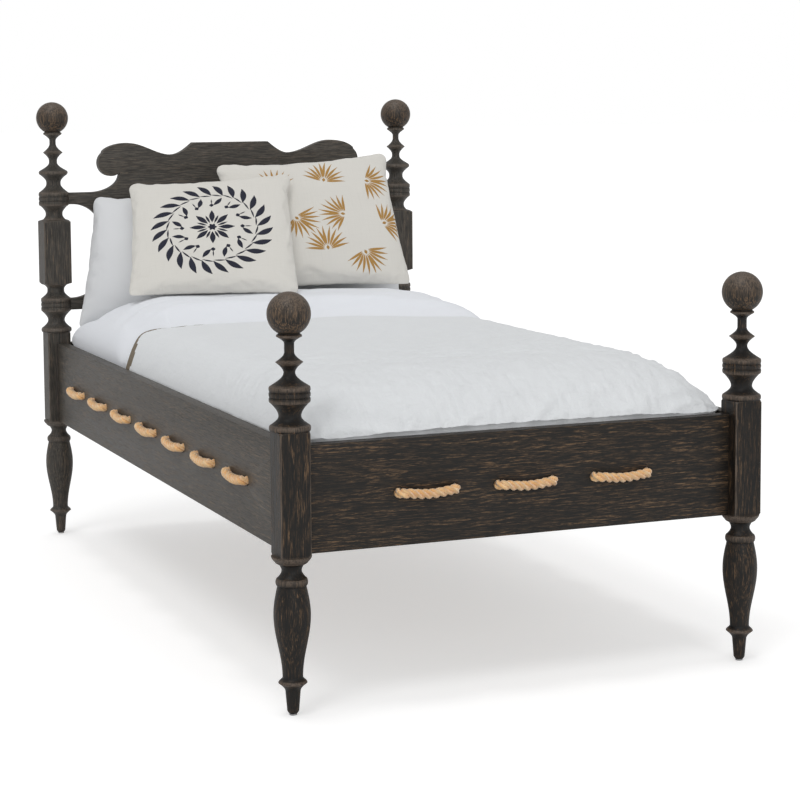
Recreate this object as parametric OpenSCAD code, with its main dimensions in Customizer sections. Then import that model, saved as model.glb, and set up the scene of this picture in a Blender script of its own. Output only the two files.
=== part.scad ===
// A dressed rope bed for a single mattress: four turned posts with ball finials,
// plank rails laced with rope, a shaped headboard, mattress, bedding and pillows.
// The origin is on the floor at the middle of the bed. +Y is the head end and
// +X is the right-hand side seen from the foot. Millimetres, +Z up.

/* [Mattress] */
// Width of the mattress
mattress_w = 990; // [900:1:1120]
// Length of the mattress
mattress_l = 1905; // [1880:1:2100]
// Thickness of the mattress
mattress_h = 135; // [125:1:150]
// Corner radius of the mattress, seen from above
mattress_r = 75; // [70:1:90]
// Room between the mattress and each side rail
side_room = 12; // [9:0.5:20]
// Room between the mattress and the foot and head rails
end_room = 21.5; // [15:0.5:30]

/* [Frame] */
// Height of the rails' lower edge above the floor
rail_z = 332; // [300:1:420]
// Height of every rail
rail_h = 225; // [215:1:260]
// Thickness of every rail
rail_t = 28; // [24:1:31]
// How far the side rails' outer faces stand in from the posts' faces
side_inset = 27; // [22:1:30]
// How far the foot and head rails' outer faces stand in from the posts' faces
end_inset = 31; // [29:1:33]

/* [Posts] */
// Side of the square block that takes the rails
block_w = 66; // [64:1:74]
// How far that block stands above the rails
block_over = 31; // [20:1:60]
// Side of the second square block on the head posts
head_block_w = 78; // [70:1:90]
// Height of the second square block on the head posts
head_block_h = 187; // [120:1:260]
// Largest radius of the vase on each leg
vase_r = 38.4; // [34:0.1:44]
// Radius of the ringed drums
drum_r = 42.7; // [41:0.1:46]
// Height of a ringed drum on a foot post
foot_drum_h = 33; // [30:1:42]
// Height of the ringed drums on a head post
head_drum_h = 38; // [36:1:48]
// Diameter of the ball on each post
ball_d = 90; // [80:1:110]
// Depth of the flat that the ball stands on
ball_flat = 6; // [4:0.5:8]
// Radius of the dowel between ball and post
dowel_r = 5; // [4:0.5:6]
// How deep the dowel goes into the ball, and into the post
dowel_deep = 28; // [20:1:36]
// Radius of the glide under each leg
glide_r = 8; // [6:0.5:10]
// Height of the glide under each leg
glide_h = 3; // [2:0.5:5]

/* [Rail joints] */
// Thickness of the tenons on the foot and head rails
tenon_t = 14; // [10:1:16]
// Height of the tenons on the foot and head rails
tenon_h = 120; // [80:1:130]
// Length of those tenons
tenon_l = 30; // [24:1:34]
// Clearance round each tenon
tenon_gap = 0.2; // [0.1:0.05:0.4]
// Thickness of the steel bed-rail plates
plate_t = 3; // [2:0.5:4]
// Width of the plates
plate_w = 20; // [18:1:22]
// Height of the plates
plate_h = 160; // [155:1:190]
// Thickness of the two hooks on each rail plate
hook_t = 4; // [3:0.5:6]
// Height of each hook's nose below its neck
hook_drop = 10; // [6:1:12]
// Radius of the plate screws' shanks
screw_r = 2; // [1.5:0.1:2.5]
// Length of the plate screws under the plate
screw_l = 22; // [16:1:30]

/* [Headboard] */
// Thickness of the headboard panel
panel_t = 26; // [20:1:30]
// Width of the panel between its side cut-outs
panel_w = 790; // [740:1:900]
// Depth of the arms where they meet the posts
arm_h = 33; // [28:1:35]
// How far the arms are let into the drums
arm_in = 20; // [12:1:26]
// Clearance round an arm in its drum
arm_gap = 0.2; // [0.1:0.05:0.4]
// Depth of the curve that runs from an arm into the panel's side
arm_sweep_x = 85; // [60:1:90]
// Height of that curve
arm_sweep_z = 72; // [50:1:90]
// Half the width of the flat in the middle of the crest
crest_flat = 115; // [90:1:130]
// Height of that flat above the upper arms
crest_up = 138; // [125:1:160]
// Radius of the scroll at each end of the crest
scroll_r = 38; // [34:1:42]

/* [Rope] */
// Diameter of the rope
rope_d = 22; // [18:1:24]
// How much wider the holes in the rails are than the rope
hole_play = 1; // [0.6:0.1:3]
// Height of the rope holes above the rails' lower edge
rope_up = 111; // [100:1:125]
// Number of stitches along a side rail
side_stitches = 7; // [5:2:7]
// Distance from one side stitch to the next
side_pitch = 235; // [220:0.5:240]
// Distance between the two holes of a side stitch
side_span = 125; // [110:1:196]
// How far the side stitches are shifted towards the head
side_shift = 32; // [0:1:50]
// Number of stitches along the foot rail and the head rail
end_stitches = 3; // [1:2:3]
// Distance from one end stitch to the next
end_pitch = 228; // [200:1:250]
// Distance between the two holes of an end stitch
end_span = 128; // [110:1:150]
// How far a stitch hangs down between its holes
sag = 5; // [2:1:12]
// Gap between the rope and what it lies on
rope_gap = 0.4; // [0.3:0.1:0.8]
// Length of the barrel knot on each loop
knot_l = 46; // [30:1:50]
// Thickness of the knot round the rope
knot_t = 9; // [6:1:11]

/* [Bedding] */
// Thickness of the fitted sheet with its quilted pad
sheet_t = 2; // [1:0.5:3]
// Gap that soft pieces keep from their neighbours
soft_gap = 0.3; // [0.2:0.1:0.5]
// Thickness of the coverlet
coverlet_t = 7; // [4:1:9]
// How high the coverlet's middle stands above the fitted sheet
coverlet_up = 60; // [56:1:66]
// How far the coverlet's skirt hangs below the sheet's top
coverlet_drop = 90; // [70:1:105]
// How far short of the mattress's head end the coverlet's top edge lies
cover_short = 747.5; // [650:0.5:850]
// How much further towards the head the skirt's edge runs
fold_slant = 150; // [0:1:200]
// How high the folded-back duvet stands above the fitted sheet
duvet_up = 108; // [90:1:120]
// Room between the duvet's head edge and the sleeping pillows
duvet_room = 14.5; // [5:0.5:40]

/* [Pillows] */
// Width of the sleeping pillows
sleep_w = 488; // [460:1:492]
// Height of the sleeping pillows as they stand
sleep_h = 410; // [390:1:420]
// Thickness of the sleeping pillows
sleep_t = 222; // [200:1:230]
// Lean of the sleeping pillows from upright
sleep_lean = 28; // [26:1:30]
// Width of the square pillow at the back
rear_w = 514; // [480:1:530]
// Height of the square pillow at the back
rear_h = 436; // [420:1:450]
// Thickness of the square pillow at the back
rear_t = 110; // [90:1:115]
// Lean of the square pillow at the back
rear_lean = 34; // [32:1:36]
// Width of the square pillow in front
front_w = 458; // [440:1:480]
// Height of the square pillow in front
front_h = 424; // [400:1:440]
// Thickness of the square pillow in front
front_t = 90; // [80:1:94]
// Lean of the square pillow in front
front_lean = 43; // [40:1:45]

/* [Hidden] */

oak = [0.17, 0.145, 0.13];
steel = [0.62, 0.62, 0.64];
straw = [0.85, 0.69, 0.46];
white = [0.93, 0.94, 0.96];
linen = [0.88, 0.88, 0.86];
cream = [0.92, 0.90, 0.85];

// The rails stand round the mattress, and the posts' centres at px and py
// stand round the rails
block_face = block_w / 2;
side_in = mattress_w / 2 + side_room;
side_out = side_in + rail_t;
end_in = mattress_l / 2 + end_room;
end_out = end_in + rail_t;
px = side_out + side_inset - block_face;
py = end_out + end_inset - block_face;
rail_mid_z = rail_z + rail_h / 2;
block_top = rail_z + rail_h + block_over;
rope_z = rail_z + rope_up;
rope_r = rope_d / 2;
hole_d = rope_d + hole_play;

// Story sticks of the turned posts, from the bottom up: each step is its
// height, the radius it ends at and its shape. A bead swells to its radius and
// returns to the radius it began with.
toe = [[8, 12.5, "cove"], [39, 15.7, "line"], [18, 30, "flare"], [12, 21.2, "swell"]];
collar = [[60, 29.8, "flare"], [16, 33.4, "bead"], [16, 20.8, "cove"], [9, 24, "flare"],
          [9, 34.6, "swell"], [12, 42, "cove"]];
vase_h = rail_z - glide_h - height(toe) - height(collar);
leg = concat(toe, [[vase_h, vase_r, "swell"]], collar);
drum_in = drum_r - 2.2;
foot_cove = [[13, 43, "bead"], [18, 23.3, "cove"], [26, 38, "flare"], [2, drum_in, "line"]];
foot_spindle = [[28, 12, "cove"], [21, 28.5, "flare"], [20, 10.3, "cove"], [18, 10.3, "line"],
                [14, 26.3, "flare"], [3, 26.3, "line"]];
head_cove = [[13, 43, "bead"], [21, 23.6, "cove"], [24, 38, "flare"], [2, drum_in, "line"]];
head_neck = [[20, 24, "cove"], [6, 24, "line"], [12, 33, "flare"]];
top_cove = [[14, 23.9, "cove"], [3, 23.9, "line"], [20, 36, "flare"], [3, drum_in, "line"]];
top_spindle = [[24, 20.4, "cove"], [4, 20.4, "line"], [23, 39.3, "flare"], [5, 41, "cove"],
               [5, 38.5, "flare"], [24, 11.4, "cove"], [5, 11.4, "line"], [23, 28, "flare"],
               [25, 9, "cove"], [9, 9, "line"], [18, 26.1, "flare"], [3, 26.1, "line"]];
ball_r = ball_d / 2;
seat_r = sqrt(ball_r * ball_r - (ball_r - ball_flat) * (ball_r - ball_flat));
ball_seat = [[4, seat_r, "cove"]];
curve_steps = 6;
drum_rings = 3;
block_start_r = 39.5;

function drum(h) = [for (i = [1:drum_rings]) [h / drum_rings, drum_r, "bead"]];
function height(steps, i = 0) = i == len(steps) ? 0 : steps[i][0] + height(steps, i + 1);
function ease(kind, t) =
    kind == "swell" ? (1 - cos(180 * t)) / 2 :
    kind == "cove" ? sin(90 * t) :
    kind == "flare" ? 1 - cos(90 * t) :
    kind == "bead" ? sin(180 * t) : t;
function turned(z, r, steps, i = 0) =
    i == len(steps) ? [[r, z]] :
    let (h = steps[i][0], to = steps[i][1], kind = steps[i][2], n = kind == "line" ? 1 : curve_steps)
    concat([for (k = [0:n - 1]) [r + (to - r) * ease(kind, k / n), z + h * k / n]],
           turned(z + h, kind == "bead" ? r : to, steps, i + 1));

foot_top = concat(foot_cove, drum(foot_drum_h), foot_spindle, ball_seat);
head_mid = concat(head_cove, drum(head_drum_h), head_neck);
head_top = concat(top_cove, drum(head_drum_h), top_spindle, ball_seat);
foot_seat_z = block_top + height(foot_top);
head_block_z = block_top + height(head_mid);
head_top_z = head_block_z + head_block_h;
head_seat_z = head_top_z + height(head_top);
low_arm_z = block_top + height(head_cove) + head_drum_h / 2;
top_arm_z = head_top_z + height(top_cove) + head_drum_h / 2;
panel_z = low_arm_z - arm_h / 2;
arm_x = px - drum_r + arm_in;

// One length of turning, standing on the height z and starting at radius r
module turning(z, r, steps) {
    rotate_extrude($fn = 64)
        polygon(concat([[0, z]], turned(z, r, steps), [[0, z + height(steps)]]));
}

// A square block whose corners the lathe has rounded at both ends
module block(w, z, h, end_r, shoulder) {
    corner_r = w / sqrt(2) + 1;
    intersection() {
        translate([-w / 2, -w / 2, z]) cube([w, w, h]);
        turning(z, end_r, [[shoulder, corner_r, "line"], [h - 2 * shoulder, corner_r, "line"],
                           [shoulder, end_r, "line"]]);
    }
}

// The bores, mortises and pockets of a post, drawn for the post at +X, +Y
module post_cuts(seat_z) {
    translate([0, 0, seat_z - dowel_deep]) cylinder(r = dowel_r + 0.05, h = dowel_deep + 1, $fn = 32);
    translate([-block_face - 1, end_out - rail_t / 2 - py - tenon_t / 2 - tenon_gap,
               rail_mid_z - tenon_h / 2 - tenon_gap])
        cube([tenon_l + 1 + tenon_gap, tenon_t + 2 * tenon_gap, tenon_h + 2 * tenon_gap]);
    translate([side_in + rail_t / 2 - px, -block_face, rail_mid_z]) {
        translate([-plate_w / 2, -1, -plate_h / 2]) cube([plate_w, plate_t + 1, plate_h]);
        for (s = [-1, 1]) {
            translate([-hook_room_x / 2, 0, s * hook_at - hook_room_down])
                cube([hook_room_x, hook_deep + 1, hook_room_h]);
            translate([0, plate_t, s * screw_at]) rotate([-90, 0, 0])
                cylinder(r = screw_r, h = screw_l, $fn = 24);
        }
    }
}

module foot_post() {
    difference() {
        union() {
            turning(glide_h, glide_r, leg);
            block(block_w, rail_z, block_top - rail_z, 42, 8);
            turning(block_top, block_start_r, foot_top);
        }
        post_cuts(foot_seat_z);
    }
}

module head_post() {
    difference() {
        union() {
            turning(glide_h, glide_r, leg);
            block(block_w, rail_z, block_top - rail_z, 42, 8);
            turning(block_top, block_start_r, head_mid);
            block(head_block_w, head_block_z, head_block_h, 33, 7);
            turning(head_top_z, 32, head_top);
        }
        post_cuts(head_seat_z);
        for (z = [low_arm_z, top_arm_z])
            translate([-drum_r - 1, -panel_t / 2 - arm_gap, z - arm_h / 2 - arm_gap])
                cube([arm_in + 1 + arm_gap, panel_t + 2 * arm_gap, arm_h + 2 * arm_gap]);
    }
}

// Puts a corner piece that is drawn for +X, +Y at one of the four corners
module corner(sx, sy) {
    translate([sx * px, sy * py, 0])
        mirror([sx < 0 ? 1 : 0, 0, 0]) mirror([0, sy < 0 ? 1 : 0, 0]) children();
}

module ball(seat_z) {
    difference() {
        translate([0, 0, seat_z + ball_r - ball_flat]) sphere(r = ball_r, $fn = 64);
        translate([-ball_r, -ball_r, seat_z - ball_flat - 1]) cube([ball_d, ball_d, ball_flat + 1]);
        translate([0, 0, seat_z - 1]) cylinder(r = dowel_r + 0.05, h = dowel_deep + 1, $fn = 32);
    }
}

module foot_post_left() { color(oak) corner(-1, -1) foot_post(); }
module foot_post_right() { color(oak) corner(1, -1) foot_post(); }
module head_post_left() { color(oak) corner(-1, 1) head_post(); }
module head_post_right() { color(oak) corner(1, 1) head_post(); }
module foot_ball_left() { color(oak) corner(-1, -1) ball(foot_seat_z); }
module foot_ball_right() { color(oak) corner(1, -1) ball(foot_seat_z); }
module head_ball_left() { color(oak) corner(-1, 1) ball(head_seat_z); }
module head_ball_right() { color(oak) corner(1, 1) ball(head_seat_z); }

module finial_dowels() {
    play = 0.5;
    color(oak) for (sx = [-1, 1], sy = [-1, 1]) corner(sx, sy)
        translate([0, 0, (sy < 0 ? foot_seat_z : head_seat_z) - dowel_deep + play])
            cylinder(r = dowel_r, h = 2 * (dowel_deep - play), $fn = 32);
}

module leg_glides() {
    color(steel) for (sx = [-1, 1], sy = [-1, 1]) corner(sx, sy)
        cylinder(r = glide_r, h = glide_h, $fn = 32);
}

// Bed-rail fittings: a hooked plate in the rail's end, a slotted plate in the post
hook_at = plate_h / 4;
hook_neck = 14;
hook_play = 0.3;
hook_reach = plate_t + hook_play + hook_t;
hook_deep = hook_reach + 1;
hook_room_x = hook_t + 2;
hook_room_down = hook_neck / 2 + hook_drop + 1;
hook_room_h = hook_room_down + hook_neck / 2 + hook_drop + 1;
screw_at = plate_h / 2 - 7;
head_r = 2 * screw_r;

// Screw holes with countersinks, cut into a plate whose outer face is at y = 0
module plate_holes(into) {
    for (s = [-1, 1]) translate([0, 0, s * screw_at]) rotate([-90 * into, 0, 0]) {
        cylinder(r = screw_r + 0.1, h = plate_t + 1, $fn = 24);
        cylinder(r1 = head_r + 0.1, r2 = screw_r + 0.1, h = head_r - screw_r, $fn = 24);
    }
}

// Stands at the middle of a side rail's joint face at the +X, +Y corner
module at_joint(sx, sy) {
    corner(sx, sy) translate([side_in + rail_t / 2 - px, -block_face, rail_mid_z]) children();
}

module hook_plate() {
    difference() {
        translate([-plate_w / 2, -plate_t, -plate_h / 2]) cube([plate_w, plate_t, plate_h]);
        plate_holes(-1);
    }
    for (s = [-1, 1]) translate([-hook_t / 2, -1, s * hook_at - hook_neck / 2]) {
        cube([hook_t, hook_reach + 1, hook_neck]);
        translate([0, plate_t + hook_play + 1, -hook_drop]) cube([hook_t, hook_t, hook_drop + hook_neck]);
    }
}

module slot_plate() {
    difference() {
        translate([-plate_w / 2, 0, -plate_h / 2]) cube([plate_w, plate_t, plate_h]);
        plate_holes(1);
        for (s = [-1, 1]) translate([-hook_room_x / 2, -1, s * hook_at - hook_neck / 2 - 0.5])
            cube([hook_room_x, plate_t + 2, hook_neck + hook_drop + 1]);
    }
}

module plate_screw() {
    cylinder(r1 = head_r, r2 = screw_r, h = head_r - screw_r, $fn = 24);
    cylinder(r = screw_r, h = plate_t + screw_l - 1, $fn = 24);
}

module hook_plates() { color(steel) for (sx = [-1, 1], sy = [-1, 1]) at_joint(sx, sy) hook_plate(); }
module slot_plates() { color(steel) for (sx = [-1, 1], sy = [-1, 1]) at_joint(sx, sy) slot_plate(); }

module plate_screws() {
    color(steel) for (sx = [-1, 1], sy = [-1, 1], s = [-1, 1], way = [-1, 1]) at_joint(sx, sy)
        translate([0, way * 0.1, s * screw_at]) rotate([-90 * way, 0, 0]) plate_screw();
}

// Places of the two holes of each stitch along a rail
side_holes = [for (k = [0:side_stitches - 1], s = [-1, 1])
    side_shift + (k - (side_stitches - 1) / 2) * side_pitch + s * side_span / 2];
end_holes = [for (k = [0:end_stitches - 1], s = [-1, 1])
    (k - (end_stitches - 1) / 2) * end_pitch + s * end_span / 2];
rail_y = py - block_face;
rail_x = px - block_face;

module side_rail(s) {
    difference() {
        translate([s > 0 ? side_in : -side_out, -rail_y, rail_z]) cube([rail_t, 2 * rail_y, rail_h]);
        for (y = side_holes) translate([s * (side_in - 1), y, rope_z]) rotate([0, s * 90, 0])
            cylinder(d = hole_d, h = rail_t + 2, $fn = 48);
        for (sy = [-1, 1]) at_joint(s, sy) {
            translate([-plate_w / 2, -plate_t, -plate_h / 2]) cube([plate_w, plate_t + 1, plate_h]);
            for (k = [-1, 1]) translate([0, -plate_t, k * screw_at]) rotate([90, 0, 0])
                cylinder(r = screw_r, h = screw_l, $fn = 24);
        }
    }
}

module end_rail(s) {
    tenon_x = rail_x + tenon_l;
    difference() {
        union() {
            translate([-rail_x, s > 0 ? end_in : -end_out, rail_z]) cube([2 * rail_x, rail_t, rail_h]);
            translate([-tenon_x, s * (end_out - rail_t / 2) - tenon_t / 2, rail_mid_z - tenon_h / 2])
                cube([2 * tenon_x, tenon_t, tenon_h]);
        }
        for (x = end_holes) translate([x, s * (end_in - 1), rope_z]) rotate([-s * 90, 0, 0])
            cylinder(d = hole_d, h = rail_t + 2, $fn = 48);
    }
}

module side_rail_left() { color(oak) side_rail(-1); }
module side_rail_right() { color(oak) side_rail(1); }
module foot_rail() { color(oak) end_rail(-1); }
module head_rail() { color(oak) end_rail(1); }

// Outline of the headboard, right half, from the bottom middle to the top
// middle: arms, side cut-out, hollow bank, scroll, hump, valley and crest
top_z = top_arm_z + arm_h / 2;
arm_low = low_arm_z + arm_h / 2;
side_x = panel_w / 2;
sweep_x = side_x + arm_sweep_x;
scroll_x = side_x - 33;
scroll_z = top_z + 83;
bank_x = scroll_x + 61;
bank_w = 85;
bank_h = 50;
hump_x = scroll_x - 49;
hump_z = scroll_z + 17;
hump_w = 80;
hump_h = scroll_r + 1.6;
valley_x = crest_flat + 65;
valley_drop = 34;
valley_z = top_z + crest_up - valley_drop;
arc_n = 8;
function arc(cx, cz, rx, rz, a0, a1, n = arc_n) =
    [for (k = [0:n]) let (a = a0 + (a1 - a0) * k / n) [cx + rx * cos(a), cz + rz * sin(a)]];
half_board = concat(
    [[arm_x, panel_z], [arm_x, arm_low]],
    arc(sweep_x, arm_low + arm_sweep_z, arm_sweep_x, arm_sweep_z, 270, 180),
    arc(sweep_x, top_z - arm_h - arm_sweep_z, arm_sweep_x, arm_sweep_z, 180, 90),
    [[arm_x, top_z - arm_h], [arm_x, top_z], [sweep_x, top_z]],
    arc(bank_x, top_z + bank_h, bank_w, bank_h, 270, 186),
    arc(scroll_x, scroll_z, scroll_r, scroll_r, -135, 50, 14),
    arc(hump_x, hump_z, hump_w, hump_h, 26, 90),
    [for (k = [1:arc_n]) let (t = k / arc_n)
        [hump_x + (valley_x - hump_x) * t,
         hump_z + hump_h + (valley_z - hump_z - hump_h) * ease("swell", t)]],
    [for (k = [1:arc_n]) let (t = k / arc_n)
        [valley_x + (crest_flat - valley_x) * t, valley_z + valley_drop * ease("flare", t)]]
);

module headboard_panel() {
    other_half = [for (i = [len(half_board) - 1:-1:0]) [-half_board[i][0], half_board[i][1]]];
    color(oak) translate([0, py + panel_t / 2, 0]) rotate([90, 0, 0]) linear_extrude(panel_t)
        polygon(concat(half_board, other_half));
}

// Sweeps a tube of eight sides along a closed path that never stands upright
tube_sides = 8;
function unit(v) = v / norm(v);
function ring(p, t) = let (side = unit(cross(t, [0, 0, 1])), up = cross(side, t))
    [for (k = [0:tube_sides - 1]) p + rope_r * (side * sin(45 * k) + up * cos(45 * k))];
function quad(a, b, c, d) = [[a, b, c], [a, c, d]];
function flat(list) = [for (part = list) for (item = part) item];
module closed_rope(path) {
    n = len(path);
    m = tube_sides;
    rings = [for (i = [0:n - 1]) ring(path[i], unit(path[(i + 1) % n] - path[(i + n - 1) % n]))];
    faces = [for (i = [0:n - 1], k = [0:m - 1]) let (j = (i + 1) % n, l = (k + 1) % m)
        quad(i * m + k, j * m + k, j * m + l, i * m + l)];
    polyhedron(points = flat(rings), faces = flat(faces), convexity = 6);
}

// Rope that runs out through one hole, hangs along the rail and goes back in:
// points across (u) and along (v) the rail, for the end of a loop at u = out
bend_r = rope_r + 1;
bend_n = 3;
stitch_n = 4;
function stitch(out, half) = let (u = out + rope_gap + rope_r, c = half - bend_r)
    concat([for (k = [0:bend_n]) [u - bend_r + bend_r * sin(90 * k / bend_n),
                                  c + bend_r * cos(90 * k / bend_n), 0]],
           [for (k = [1:stitch_n - 1]) [u, c - 2 * c * k / stitch_n, -sag * sin(180 * k / stitch_n)]],
           [for (k = [0:bend_n]) [u - bend_r + bend_r * cos(90 * k / bend_n),
                                  -c - bend_r * sin(90 * k / bend_n), 0]]);
function turn_round(points) = [for (p = points) [-p[0], -p[1], p[2]]];

// A loop across the bed at the stitch in the middle of y
function cross_loop(y) = let (end = stitch(side_out, side_span / 2))
    [for (p = concat(end, turn_round(end))) [p[0], y + p[1], rope_z + p[2]]];

// A long run weaves over the two cross ropes between one pair of stitches and
// under the next two, and lies level for a little beyond them
pair_gap = side_pitch - side_span;
weave = rope_d + rope_gap;
run_in = 70;
level = 8;
function long_run(sign) = concat(
    [[-end_in + run_in, 0]],
    [for (k = [0:side_stitches]) let (y = side_shift + (k - side_stitches / 2) * side_pitch,
                                      z = (k % 2 == 0 ? sign : -sign) * weave)
        for (v = [k == 0 ? pair_gap / 2 - level : -pair_gap / 2 - level,
                  k == side_stitches ? -pair_gap / 2 + level : pair_gap / 2 + level])
            [y + v, z]],
    [[end_in - run_in, 0]]);
function backwards(list) = [for (i = [len(list) - 1:-1:0]) list[i]];
function long_loop(x, sign) = let (end = stitch(end_out, end_span / 2))
    concat([for (p = end) [x - p[1], p[0], rope_z + p[2]]],
           [for (p = backwards(long_run(sign))) [x + end_span / 2, p[0], rope_z + p[1]]],
           [for (p = turn_round(end)) [x - p[1], p[0], rope_z + p[2]]],
           [for (p = long_run(-sign)) [x - end_span / 2, p[0], rope_z + p[1]]]);

module cross_ropes() {
    color(straw) for (k = [0:side_stitches - 1])
        closed_rope(cross_loop(side_shift + (k - (side_stitches - 1) / 2) * side_pitch));
}

module long_ropes() {
    color(straw) for (k = [0:end_stitches - 1])
        closed_rope(long_loop((k - (end_stitches - 1) / 2) * end_pitch, k % 2 == 0 ? 1 : -1));
}

// A barrel knot of four wraps that joins the two ends of each loop
knot_wraps = 4;
knot_rest = 12;
module knot() {
    wall = rope_r + rope_gap;
    wraps = [for (i = [1:knot_wraps]) [knot_l / knot_wraps, wall + knot_t, "bead"]];
    rotate_extrude($fn = 32)
        polygon(concat([[wall, 0]], turned(0, wall + knot_t / 2, wraps), [[wall, knot_l]]));
}

module rope_knots() {
    color(straw) {
        for (k = [0:side_stitches - 1])
            translate([side_in - knot_rest, side_holes[2 * k], rope_z]) rotate([0, -90, 0]) knot();
        for (k = [0:end_stitches - 1])
            translate([end_holes[2 * k], -end_in + knot_rest, rope_z]) rotate([-90, 0, 0]) knot();
    }
}

// The mattress lies on the rope, and the fitted sheet wraps it
mattress_z = rope_z + weave + rope_r + soft_gap;
mattress_top = mattress_z + mattress_h;
sheet_top = mattress_top + soft_gap + sheet_t;
sheet_out = soft_gap + sheet_t;
sheet_hem = 20;
mattress_edge = 20;

module rounded(w, l, r) {
    polygon(flat([for (c = [[1, 1, 0], [-1, 1, 90], [-1, -1, 180], [1, -1, 270]])
        arc(c[0] * (w / 2 - r), c[1] * (l / 2 - r), r, r, c[2], c[2] + 90, 6)]));
}

module pad(grow, z, h) {
    translate([0, 0, z]) linear_extrude(h)
        rounded(mattress_w + 2 * grow, mattress_l + 2 * grow, mattress_r + grow);
}

module mattress() {
    color(cream) {
        pad(-mattress_edge / 2, mattress_z, mattress_edge);
        pad(0, mattress_z + mattress_edge, mattress_h - 2 * mattress_edge);
        pad(-mattress_edge / 2, mattress_top - mattress_edge, mattress_edge);
    }
}

module fitted_sheet() {
    color(white) difference() {
        union() {
            pad(sheet_out, mattress_z + sheet_hem, mattress_h - sheet_hem - mattress_edge + sheet_out);
            pad(sheet_out - mattress_edge / 2, mattress_top - mattress_edge, mattress_edge + sheet_out);
        }
        pad(soft_gap, mattress_z, mattress_h - mattress_edge + soft_gap);
        pad(soft_gap - mattress_edge / 2, mattress_z, mattress_h + soft_gap);
    }
}

// How the pillows are made: the thickness of their seams, the steps of their
// grid, how far their sides are drawn in and how steeply they fill
seam = 2;
pillow_steps = 12;
drawn = 0.05;
full = 0.5;

// The sleeping pillows lean on the headboard and the throw pillow at the back
// leans on them, where they are fullest. The one in front nestles into it.
sleep_x = sleep_w / 2 + 2;
sleep_top = 0.86;
sleep_front = leaning(cushion(sleep_w, sleep_h, sleep_t, sleep_top, -1), sleep_lean);
sleep_back = leaning(cushion(sleep_w, sleep_h, sleep_t, sleep_top, 1), sleep_lean);
sleep_y = py - panel_t / 2 - soft_gap - max([for (p = sleep_back) p[1]]);
fullest = sleep_h * cos(sleep_lean) / 2;
lean_gap = 2;
rear_x = 146;
rear_y = sleep_y + fullest * tan(sleep_lean) - sleep_t / 2 / cos(sleep_lean) - rear_t / 2 / cos(rear_lean)
    - (fullest - duvet_up) * tan(rear_lean) - lean_gap;
rear_spin = -6;
front_x = -202;
front_spin = -16;
touch = front_h * cos(front_lean) / 2;
nestle = 82;
front_y = rear_y + touch * (tan(rear_lean) - tan(front_lean))
    - rear_t / 2 / cos(rear_lean) - front_t / 2 / cos(front_lean) + nestle;

// Bedding is drawn as nested outlines, from the middle of the bed out to the
// hem. An outline runs from the head end down the left side, round the foot
// and up the right side. Each takes how far it lies inside the outer one at
// the sides and at the foot, the drop that the rounded edge gives it, and the
// radius of its corners.
cover_x = side_in - soft_gap;
cover_y = -end_in + soft_gap;
cover_r = 62;
cover_spread = 110;
fold_y = mattress_l / 2 - cover_short;
hem_z = sheet_top - coverlet_drop;
crown = 10;
edge_x = 110;
edge_y = 260;
edge_z = 70;
side_steps = 9;
turn_steps = 4;
foot_steps = 5;
foot_bow = 3;
rounding = [for (q = [1, 0.6, 0.3, 0.1, 0.03, 0])
    [edge_x * q, edge_y * q, edge_z * (1 - sqrt(1 - (1 - q) * (1 - q))), cover_r + cover_spread * q]];
flat_part = [[440, 560, 0, 60], [310, 440, 0, 120], [200, 340, 0, 160]];

function outline(w, y0, y1, r) = concat(
    [for (k = [0:side_steps - 1]) [-w, y1 + (y0 + r - y1) * k / side_steps]],
    arc(-w + r, y0 + r, r, r, 180, 270, turn_steps),
    [for (k = [1:foot_steps - 1]) let (t = 2 * k / foot_steps - 1)
        [(w - r) * t, y0 + foot_bow * (1 - t * t)]],
    arc(w - r, y0 + r, r, r, 270, 360, turn_steps),
    [for (k = [1:side_steps]) [w, y0 + r + (y1 - y0 - r) * k / side_steps]]);

// Height of the bedding's middle above the fitted sheet where x and y are, for
// a piece that lies deep under the coverlet's face
function crest(x, deep) = sheet_top + coverlet_up - deep - crown * pow(x / cover_x, 2);

// Zips the innermost outline to itself, so that it closes the middle
function zip(o, n) = [for (i = [0:n / 2 - 2]) quad(o + i, o + i + 1, o + n - 2 - i, o + n - 1 - i)];
function turned_over(faces) = [for (f = faces) [f[2], f[1], f[0]]];
function nest(o, m, n, closed) = flat([for (j = [0:m - 2], i = [0:n - (closed ? 1 : 2)]) let (k = (i + 1) % n)
    quad(o + j * n + i, o + j * n + n + i, o + j * n + n + k, o + j * n + k)]);

// One outline of the coverlet at a depth under its face, and one whole skin of
// it, whose skirt has a top edge that slants towards the head
cover_rings = concat(flat_part, rounding);
function cover_ring(ring, deep, slant = 0) = let (dx = ring[0] + deep, dy = ring[1] + deep)
    outline(cover_x - dx, cover_y + dy, fold_y + slant, ring[3] - deep);
function cover_skin(deep) = concat(
    [for (ring = cover_rings) [for (p = cover_ring(ring, deep, ring[0] == 0 ? fold_slant / 3 : 0))
        [p[0], p[1], crest(p[0], deep) - ring[2]]]],
    [[for (p = cover_ring([0, 0, 0, cover_r], deep, fold_slant)) [p[0], p[1], hem_z]]]);

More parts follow.
